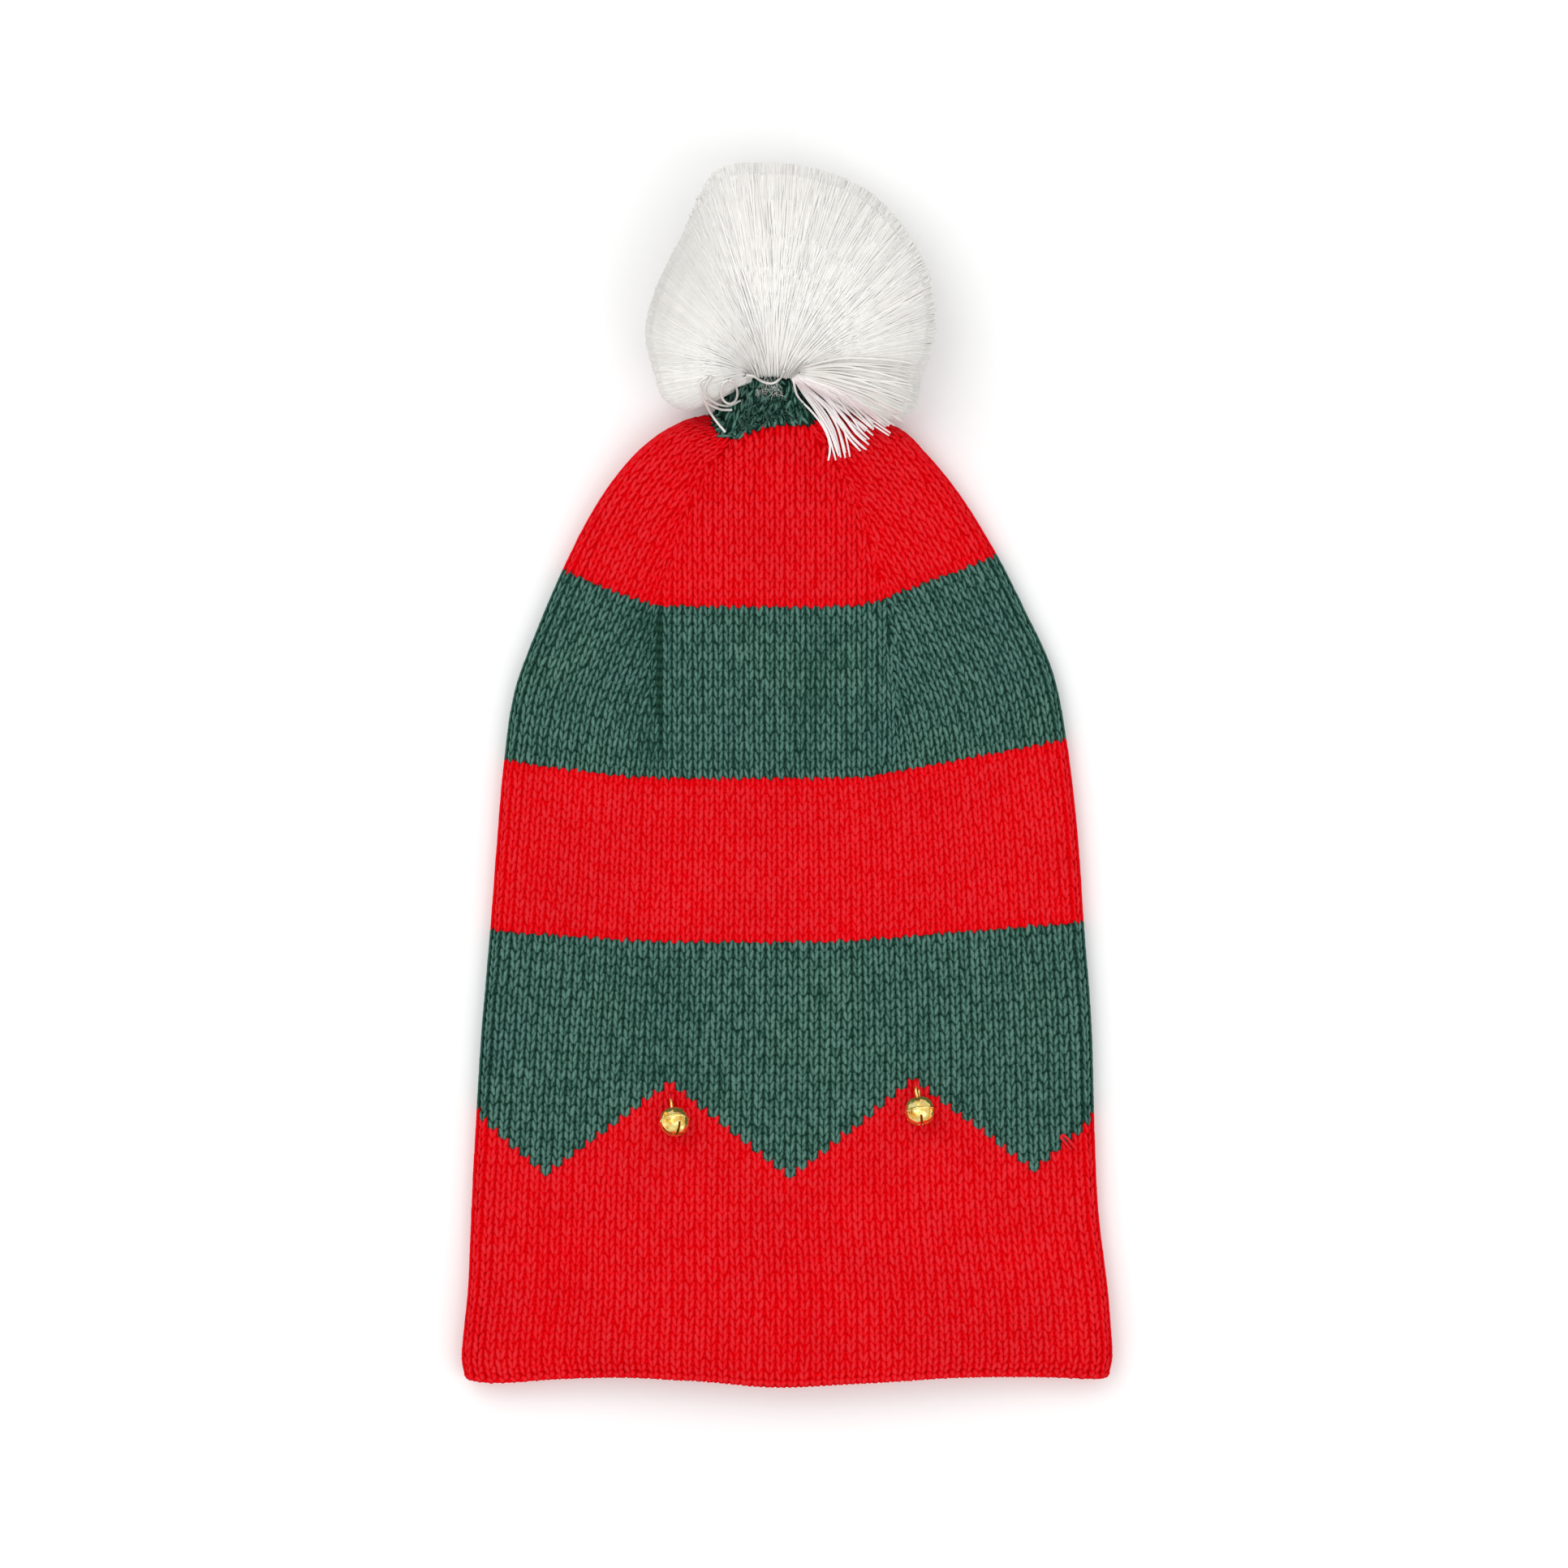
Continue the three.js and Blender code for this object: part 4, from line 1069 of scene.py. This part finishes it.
# dense middle of the bundle
CORE_TURNS, CORE_STEPS = 90, 34
turn = np.radians(np.linspace(FAN[0] + 3.5, FAN[1] - 3.5, CORE_TURNS))
reach = fan_reach(turn) * 0.965
f = np.linspace(0.02, 1, CORE_STEPS)
cx = KNOT[0] + reach[:, None] * np.cos(turn)[:, None] * f
cy = KNOT[1] + 1.0 + reach[:, None] * np.sin(turn)[:, None] * f
top, low, g = pom_height(cx, cy)
edge = np.minimum(1, (1 - f)[None] * 14)
mid = (top + low) / 2
share = root_share(cx, cy)[0]
blend = out_of_root(share)
up = (ROOT_HIGH - 1.5) * (1 - blend) + np.maximum(mid, top - 1.1 - 0.4 * (1 - smooth(0.4, 0.6, share))) * blend - ROOT_DIP * np.maximum(0, 1 - share / 0.11)
down = 14.0 * (1 - blend) + np.minimum(mid, low + 1.0) * blend
up, down = mid + (up - mid) * edge**0.5, mid + (down - mid) * edge**0.5
profile = np.concatenate([np.stack([cx, cy, up], 2), np.stack([cx, cy, down], 2)[:, -2::-1]], axis=1)
n_t, n_p = profile.shape[:2]
cv = profile.reshape(-1, 3)
k = np.arange(n_p)
kn = (k + 1) % n_p
cq = np.concatenate([np.stack([a * n_p + k, (a + 1) * n_p + k, (a + 1) * n_p + kn, a * n_p + kn], axis=1) for a in range(n_t - 1)])[:, ::-1]
c0, c1 = profile[0].mean(axis=0), profile[-1].mean(axis=0)
cv = np.concatenate([cv, [c0, c1]])
ct = np.concatenate([np.stack([np.full(n_p, len(cv) - 2), k, kn], 1), np.stack([np.full(n_p, len(cv) - 1), (n_t - 1) * n_p + kn, (n_t - 1) * n_p + k], 1)])[:, ::-1]


def core_material():
    m, t, s = material("white_bundle")
    coords = node(t, "ShaderNodeTexCoord")
    sub = node(t, "ShaderNodeVectorMath", operation="SUBTRACT")
    sub.inputs[1].default_value = tuple((KNOT + SHIFT) * MM)
    t.links.new(coords.outputs["Object"], sub.inputs[0])
    sep = node(t, "ShaderNodeSeparateXYZ")
    t.links.new(sub.outputs["Vector"], sep.inputs["Vector"])
    ang = node(t, "ShaderNodeMath", operation="ARCTAN2")
    t.links.new(sep.outputs["Y"], ang.inputs[0])
    t.links.new(sep.outputs["X"], ang.inputs[1])
    comb = node(t, "ShaderNodeCombineXYZ")
    t.links.new(ang.outputs["Value"], comb.inputs["X"])
    length = node(t, "ShaderNodeVectorMath", operation="LENGTH")
    t.links.new(sub.outputs["Vector"], length.inputs[0])
    t.links.new(length.outputs["Value"], comb.inputs["Y"])
    t.links.new(sep.outputs["Z"], comb.inputs["Z"])
    mp = node(t, "ShaderNodeMapping")
    mp.inputs["Scale"].default_value = (70.0, 30.0, 900.0)
    t.links.new(comb.outputs["Vector"], mp.inputs["Vector"])
    n = node(t, "ShaderNodeTexNoise")
    n.inputs["Scale"].default_value = 1.0
    n.inputs["Detail"].default_value = 3.0
    t.links.new(mp.outputs["Vector"], n.inputs["Vector"])
    t.links.new(ramp(t, n.outputs["Fac"], ((0.3, (0.81, 0.794, 0.758)), (0.65, (0.875, 0.859, 0.824)))), s.inputs["Base Color"])
    s.inputs["Roughness"].default_value = 0.6
    bump(t, s, n.outputs["Fac"], 0.4, 0.001)
    return m


core = mesh_object("pompom_bundle", cv, [cq, ct], [core_material()])
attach(core, "root")
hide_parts("pompom")


def smooth_line(points, count):
    """A smooth line through a few points, with evenly spread steps."""
    p = np.asarray(points, float)
    keys = np.concatenate([[0], np.cumsum(np.linalg.norm(np.diff(p, axis=0), axis=1))])
    at = np.linspace(0, keys[-1], count)
    return np.stack([along(keys, p[:, c], at) for c in range(p.shape[1])], axis=1)


# Tuft over the right of the crown: strands and spread of each lock, and its route in plan.
LOCKS = (
    (1, 0.2, ((2.0, 133.9), (3.5, 128.4), (8.5, 123.0), (12.6, 117.4), (14.5, 111.4), (13.4, 104.4))),
    (9, 2.6, ((2.6, 134.2), (5.8, 130.8), (11.4, 125.0), (15.8, 117.8), (17.5, 112.6), (19.0, 106.8))),
    (10, 2.9, ((3.0, 134.4), (7.0, 131.4), (13.6, 126.6), (19.2, 120.2), (22.8, 115.0), (27.6, 110.2))),
    (8, 2.3, ((3.4, 134.6), (8.5, 131.6), (16.8, 127.0), (23.4, 121.4), (29.8, 115.2))),
    (7, 2.0, ((3.9, 134.8), (10.5, 131.3), (21.5, 125.9), (28.5, 121.2), (36.0, 116.2))),
    (6, 2.6, ((4.4, 135.0), (12.5, 131.7), (24.5, 127.1), (32.0, 123.0), (39.6, 118.9))),
    (6, 4.0, ((4.6, 135.4), (14.0, 132.9), (26.0, 129.0), (33.0, 126.2), (41.8, 122.6))),
    (6, 4.6, ((4.8, 135.8), (15.0, 134.6), (27.0, 131.8), (35.0, 129.8), (43.8, 127.2))),
    (6, 5.0, ((4.8, 136.4), (15.5, 136.6), (28.0, 135.8), (36.0, 135.2), (45.2, 133.8))),
)
LOOSE_LOCKS = 5  # the first ones lie on the crown, the others on the bundle
STRAND_R, STRAND_POINTS = 0.36, 16
crown_lines = [halves(m, 0.0)[0][FOLD_POINTS:-FOLD_POINTS] for m in np.linspace(88, TIE_Y, 60)]
crown_cloud = np.concatenate(crown_lines)


def crown_top(x, y):
    """Height of the crown below points of the plan, by the nearest point of its face."""
    flat = np.stack([np.ravel(x), np.ravel(y)], 1)
    out = np.empty(len(flat))
    for k in range(0, len(flat), 400):
        d = ((flat[k : k + 400, None] - crown_cloud[None, :, :2]) ** 2).sum(2)
        near = d.argmin(1)
        z = crown_cloud[near, 2]
        out[k : k + 400] = np.where(d[np.arange(len(near)), near] < 9, z, -50)
    return out.reshape(np.shape(x))


def bundle_top(x, y):
    """Height of the upper threads of the bundle, far below where there are none."""
    f, turn = root_share(x, y)
    blend = out_of_root(f)
    z = ROOT_HIGH * (1 - blend) + pom_height(x, y)[0] * blend
    return np.where((f < 1) & (turn > FAN[0] - 1) & (turn < FAN[1] + 1), z, -50)


def lying_height(x, y):
    """Height of what loose threads lie on: the crown, the neck or the bundle, evened out along the line."""
    z = np.maximum(crown_top(x, y), bundle_top(x, y))
    for k in range(1, len(z)):
        if z[k] < 0:
            z[k] = max(z[k - 1] - 1.0, 22.0)
    z = np.maximum(z, 20.0)
    return np.convolve(np.pad(z, 3, mode="edge"), np.ones(7) / 7, mode="valid")


tuft = ([], []), ([], [])
for lock, (number, spread, route) in enumerate(LOCKS):
    paths, radii = tuft[lock >= LOOSE_LOCKS]
    for k in range(number):
        slot = (2 * k + 1) / number - 1
        f = np.linspace(0, 1, 60)
        line = smooth_line(route, 60)
        step = unit(np.gradient(line, axis=0))
        side = np.stack([-step[:, 1], step[:, 0]], axis=1)
        off = slot * spread * smooth(-0.25, 0.45, f) * (0.75 + 0.25 * f) + rng.normal(0, 0.4) * f + rng.normal(0, 0.55) * np.sin(math.pi * f)
        line = line + side * off[:, None] * (1 if number > 1 else 0.3)
        z = lying_height(line[:, 0], line[:, 1]) + 0.2 + (0.7 * (k % 2) + rng.uniform(0, 1.0)) * (1 - 0.4 * f) + 0.8 * (1 - smooth(0, 0.3, f))
        line = np.column_stack([line, z])[: int(60 * rng.uniform(0.9, 1.0))]
        paths.append(even(line, STRAND_POINTS))
        radii.append(STRAND_R * rng.uniform(0.9, 1.12) * np.concatenate([np.ones(STRAND_POINTS - 1), [0.8]]))
for name, look, (paths, radii) in zip(("pompom_tuft", "pompom_side_strands"), (STRAND, WHITE), tuft):
    thread_piece(name, [(np.array(paths), np.array(radii))], 6, 0.0, look)

# Loose curls at the left of the neck and the thread that ties the bundle: points (x, y, height over what they lie on)
RING_TURN = np.radians(np.linspace(100, 452, 14))
CURLS = (
    tuple((-19.5 + 2.75 * math.cos(a), 129.2 + 3.7 * math.sin(a), 1.4 + 0.8 * k / 13) for k, a in enumerate(RING_TURN)),
    ((-26.5, 133.9, 0.6), (-29.3, 131.9, 0.6), (-29.0, 129.4, 0.7), (-28.0, 126.4, 0.8), (-23.0, 123.9, 0.8), (-18.5, 123.7, 0.7)),
    ((-25.5, 133.9, 1.0), (-27.5, 129.4, 1.2), (-25.0, 126.0, 1.2), (-20.5, 124.9, 1.0), (-15.5, 126.9, 0.7)),
    ((-28.2, 126.9, 1.3), (-26.0, 122.9, 0.9), (-23.5, 119.4, 0.6), (-20.8, 116.2, 0.6)),
    ((-13.75, 134.9, 1.6), (-11.5, 134.6, 1.6), (-8.0, 132.9, 1.2), (-5.0, 132.4, 1.0), (-2.5, 133.9, 1.2), (-1.0, 136.4, 1.6)),
)
curl_paths = []
for pts in CURLS:
    line = smooth_line(pts, 36)
    line[:, 2] += lying_height(line[:, 0], line[:, 1])
    curl_paths.append(line)
thread_piece("pompom_curls", [(np.array(curl_paths), np.full((len(CURLS), 36), 0.42))], 6, 0.0)


# Short hairs of the neck's yarn, and white ones from the pompom just below the tie: number, plan box, length, radius
# x, y: lower edge of the green neck
NECK_EDGE = np.array([(-29.0, 124.0), (-25.6, 114.7), (-20.6, 113.6), (-14.5, 114.7), (-7.7, 117.4), (0.0, 118.5), (8.8, 119.6), (14.0, 120.5)])


def hairs(count, box, length, radius):
    x, y = (rng.uniform(box[k], box[k + 2], count) for k in (0, 1))
    way, bow = rng.uniform(0, 2 * math.pi, count), rng.normal(0, 0.6, count)
    f = np.linspace(-0.5, 0.5, 5)
    size = length * rng.uniform(0.6, 1.4, count)
    angle = way[:, None] + bow[:, None] * f * 2
    px = x[:, None] + size[:, None] * f * np.cos(angle)
    py = y[:, None] + size[:, None] * f * np.sin(angle)
    pz = crown_top(px, py)
    keep = ((pz > 0) & (py > np.interp(px, NECK_EDGE[:, 0], NECK_EDGE[:, 1]) + 1.2)).all(axis=1)
    pz = pz + 0.15 + rng.uniform(0, 0.7, count)[:, None] - 1.6 * np.abs(f)[None]
    return np.stack([px, py, pz], 2)[keep], np.full((keep.sum(), 5), radius)


thread_piece("neck_white_fuzz", [hairs(170, (-13, 128.4, 2.5, 134.6), 3.8, 0.05)], 3, 0.0)
neck_hairs, neck_radii = hairs(1300, (-29, 115.5, 13, 134), 2.2, 0.09)
v, q, e, uq, ue, out = tubes(neck_hairs, neck_radii, 3)
# rise gives each hair a random tone between the yarn's painted shade and painted highlight
fuzz = mesh_object("neck_fuzz", v, [q, e], [GREEN], {BAKE_MAP: [uq, ue]}, rise=np.repeat(rng.uniform(0.1, 1.3, len(neck_hairs)), 15))
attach(fuzz, "root")

# ---------------------------------------------------------------------------------------------
# The bells
# ---------------------------------------------------------------------------------------------
def apply_booleans(obj, cutters, operation="DIFFERENCE"):
    for c in cutters:
        mod = obj.modifiers.new("cut", "BOOLEAN")
        mod.operation = operation
        mod.solver = "EXACT"
        mod.object = c
    dg = bpy.context.evaluated_depsgraph_get()
    mesh = bpy.data.meshes.new_from_object(obj.evaluated_get(dg))
    obj.modifiers.clear()
    old = obj.data
    obj.data = mesh
    bpy.data.meshes.remove(old)
    for c in cutters:
        bpy.data.objects.remove(c, do_unlink=True)


def turned(profile, around):
    """A closed body turned about Z from (radius, height) points that start and end on the axis."""
    ring = np.array([(math.cos(a), math.sin(a)) for a in 2 * math.pi * np.arange(around) / around])
    verts = [(0, 0, profile[0][1])]
    for r, z in profile[1:-1]:
        verts += [(r * c, r * s, z) for c, s in ring]
    verts.append((0, 0, profile[-1][1]))
    n = len(profile) - 2
    a = np.arange(around)
    b = (a + 1) % around
    quads = np.concatenate([np.stack([1 + k * around + a, 1 + k * around + b, 1 + (k + 1) * around + b, 1 + (k + 1) * around + a], 1) for k in range(n - 1)])
    tris = np.concatenate([np.stack([np.zeros(around, int), 1 + b, 1 + a], 1), np.stack([np.full(around, len(verts) - 1), 1 + (n - 1) * around + a, 1 + (n - 1) * around + b], 1)])
    return np.array(verts, float), quads, tris


def rotation(axis, degrees):
    c, s = math.cos(math.radians(degrees)), math.sin(math.radians(degrees))
    if axis == "x":
        return np.array(((1, 0, 0), (0, c, -s), (0, s, c)))
    return np.array(((c, -s, 0), (s, c, 0), (0, 0, 1)))


def make_bell(name, x, y, turn, raise_, roll):
    R, SEAM = BELL_R, BELL_SEAM
    out_profile = [(0, -R)]
    for deg in np.concatenate([np.linspace(-86, -8, 20), np.linspace(-6, 6, 13), np.linspace(8, 86, 20)]):
        a = math.radians(deg)
        bead = SEAM * math.exp(-((deg / 3.6) ** 4))
        full = (abs(math.cos(a)) ** FULLNESS + abs(math.sin(a)) ** FULLNESS) ** (-1 / FULLNESS)
        out_profile.append((((R - SEAM) * full + bead) * math.cos(a), ((R - SEAM) * full + bead) * math.sin(a)))
    out_profile.append((0, R - SEAM))
    out_profile[0] = (0, -(R - SEAM))
    v, q, t = turned(out_profile, 56)
    body = mesh_object(name, v - SHIFT, [q, t], [GOLD])
    r_in = R - SEAM - 0.4
    v, q, t = turned([(0, -r_in)] + [(r_in * math.cos(a), r_in * math.sin(a)) for a in np.radians(np.linspace(-82, 82, 25))] + [(0, r_in)], 40)
    cut = [mesh_object("inside", v - SHIFT, [q, t], [GOLD])]
    for k in range(2):
        half_w, half_l, z0, z1 = 0.42, 4.45, -R - 1, -1.6
        corners = np.array([(sx * half_w, sy * half_l, z) for z in (z0, z1) for sx, sy in ((-1, -1), (1, -1), (1, 1), (-1, 1))])
        corners = corners @ rotation("z", 90 * k).T
        box = np.array([(3, 2, 1, 0), (4, 5, 6, 7), (0, 1, 5, 4), (1, 2, 6, 5), (2, 3, 7, 6), (3, 0, 4, 7)])
        cut.append(mesh_object("slot", corners + (0, 0, 0.0007 * k) - SHIFT, [box], [GOLD], smooth_faces=False))
    apply_booleans(body, cut)
    # loop of wire at the top, soldered on
    arc = np.radians(np.linspace(-52, 232, 30))
    loop = np.stack([1.2 * np.cos(arc), np.zeros(30), R - SEAM + LOOP_STRETCH * (1.15 + 1.2 * np.sin(arc))], 1)
    loop[:, 2] = np.maximum(loop[:, 2], R - SEAM - 0.15)
    loop = loop @ rotation("z", LOOP_TURN).T
    lv, lq, le = tubes(loop[None], np.full((1, 30), 0.45), 10)[:3]
    wire = mesh_object("wire", lv - SHIFT, [lq, le], [GOLD])
    bpy.context.view_layer.objects.active = body
    for o in bpy.context.selected_objects:
        o.select_set(False)
    wire.select_set(True)
    body.select_set(True)
    bpy.ops.object.join()
    spin = rotation("z", turn) @ rotation("x", -90 + raise_) @ rotation("z", roll)
    co = np.empty(len(body.data.vertices) * 3, np.float32)
    body.data.vertices.foreach_get("co", co)
    co = co.reshape(-1, 3) / MM @ spin.T + (x, y, top_z(x, y) + R + 0.3) + SHIFT
    body.data.vertices.foreach_set("co", (co * MM).astype(np.float32).reshape(-1))
    body.data.update()
    bm = bmesh.new()
    bm.from_mesh(body.data)
    bmesh.ops.remove_doubles(bm, verts=bm.verts, dist=1e-7)
    bm.to_mesh(body.data)
    bm.free()
    body.data.polygons.foreach_set("use_smooth", np.full(len(body.data.polygons), True))
    body.data.set_sharp_from_angle(angle=math.radians(38))
    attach(body, "root")
    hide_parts(name)
    return spin


tie_paths = []
for bell in BELLS:
    spin = make_bell(*bell)
    eye = np.array((bell[1], bell[2], top_z(bell[1], bell[2]) + BELL_R + 0.3)) + spin @ np.array((0, 0, BELL_R + 2.9))
    for side in (-0.55, 0.55):
        tie_paths.append(
            smooth_line(
                [
                    (eye[0] + side - 0.2, eye[1] + 2.6, top_z(eye[0], eye[1] + 2.6) - 0.6),
                    (eye[0] + side, eye[1] + 1.9, eye[2] - 0.5),
                    (eye[0] + side * 0.8, eye[1] + 0.3, eye[2] + 0.35),
                    (eye[0] + side * 0.5, eye[1] - 1.1, eye[2] - 1.2),
                    (eye[0] + side * 0.3, eye[1] - 0.3, top_z(eye[0], eye[1]) - 0.6),
                ],
                16,
            )
        )


def red_strands(name, paths, radius):
    v, q, e, uq, ue, out = tubes(np.array(paths), np.full(np.shape(paths)[:2], radius), 6)
    # rise: painted highlight on the upper side of the red strands, painted shade underneath
    obj = mesh_object(name, v, [q, e], [RED], {BAKE_MAP: [uq, ue]}, rise=0.5 + 0.5 * out[:, 2])
    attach(obj, "root")


red_strands("bell_ties", tie_paths, 0.36)
# A slack loop of red yarn that stands out of the green by the right fold: points (x, y, height over the cloth)
SLACK_LOOP = ((97.9, -126.4, -0.6), (96.6, -124.6, 0.7), (94.8, -122.5, 0.9), (93.5, -121.6, 0.9), (92.9, -122.4, 0.9), (94.2, -124.0, 0.8), (96.3, -126.6, -0.6))
red_strands("slack_loop", [smooth_line([(x, y, top_z(x, y) + h) for x, y, h in SLACK_LOOP], 24)], 0.5)

# ---------------------------------------------------------------------------------------------
# Floor, light, camera
# ---------------------------------------------------------------------------------------------
def floor_material():
    m, t, s = material("pale_floor")
    t.links.new(ramp(t, noise(t, 3.0, 2.0), ((0.3, (0.955, 0.955, 0.955)), (0.7, (0.97, 0.97, 0.968)))), s.inputs["Base Color"])
    s.inputs["Roughness"].default_value = 0.7
    s.inputs["Specular IOR Level"].default_value = 0.2
    return m


mesh = bpy.data.meshes.new("floor")
mesh.from_pydata([(-6, -6, -0.0002), (6, -6, -0.0002), (6, 6, -0.0002), (-6, 6, -0.0002)], [], [(0, 1, 2, 3)])
mesh.materials.append(floor_material())
floor = bpy.data.objects.new("floor", mesh)
bpy.context.scene.collection.objects.link(floor)

world = bpy.data.worlds.new("studio")
bpy.context.scene.world = world
world.use_nodes = True
# a soft tent of light, brighter overhead and on the left than at the other sides
wt = world.node_tree
sky = node(wt, "ShaderNodeTexCoord")
split = node(wt, "ShaderNodeSeparateXYZ")
wt.links.new(sky.outputs["Generated"], split.inputs["Vector"])
slant = node(wt, "ShaderNodeMath", operation="MULTIPLY_ADD")
wt.links.new(split.outputs["X"], slant.inputs[0])
slant.inputs[1].default_value = -0.08
wt.links.new(split.outputs["Z"], slant.inputs[2])
wt.links.new(ramp(wt, slant.outputs["Value"], ((0.0, (0.58, 0.58, 0.58)), (0.85, (1.0, 1.0, 1.0)))), wt.nodes["Background"].inputs["Color"])
wt.nodes["Background"].inputs["Strength"].default_value = 0.95


def lamp(name, place, aim, size, power):
    data = bpy.data.lights.new(name, "AREA")
    data.shape = "SQUARE"
    data.size = size
    data.energy = power
    o = bpy.data.objects.new(name, data)
    bpy.context.scene.collection.objects.link(o)
    o.location = place
    d = np.array(aim) - np.array(place)
    import mathutils

    o.rotation_euler = mathutils.Vector(d).to_track_quat("-Z", "Y").to_euler()


lamp("key", (-0.75, 0.55, 1.45), (0, 0, 0), 1.3, 7.8)
lamp("fill", (0.9, -0.6, 1.5), (0, 0, 0), 1.2, 5.6)

camera = bpy.data.cameras.new("camera")
eye = bpy.data.objects.new("camera", camera)
bpy.context.scene.collection.objects.link(eye)
DISTANCE, FRAME_W = 3.0, 0.5313
eye.location = (-0.0011, -0.0025, DISTANCE)
camera.sensor_fit = "HORIZONTAL"
camera.sensor_width = 36.0
camera.lens = 36.0 * (DISTANCE - 0.012) / FRAME_W
camera.clip_end = 30
bpy.context.scene.camera = eye
bpy.context.scene.view_settings.view_transform = "Standard"
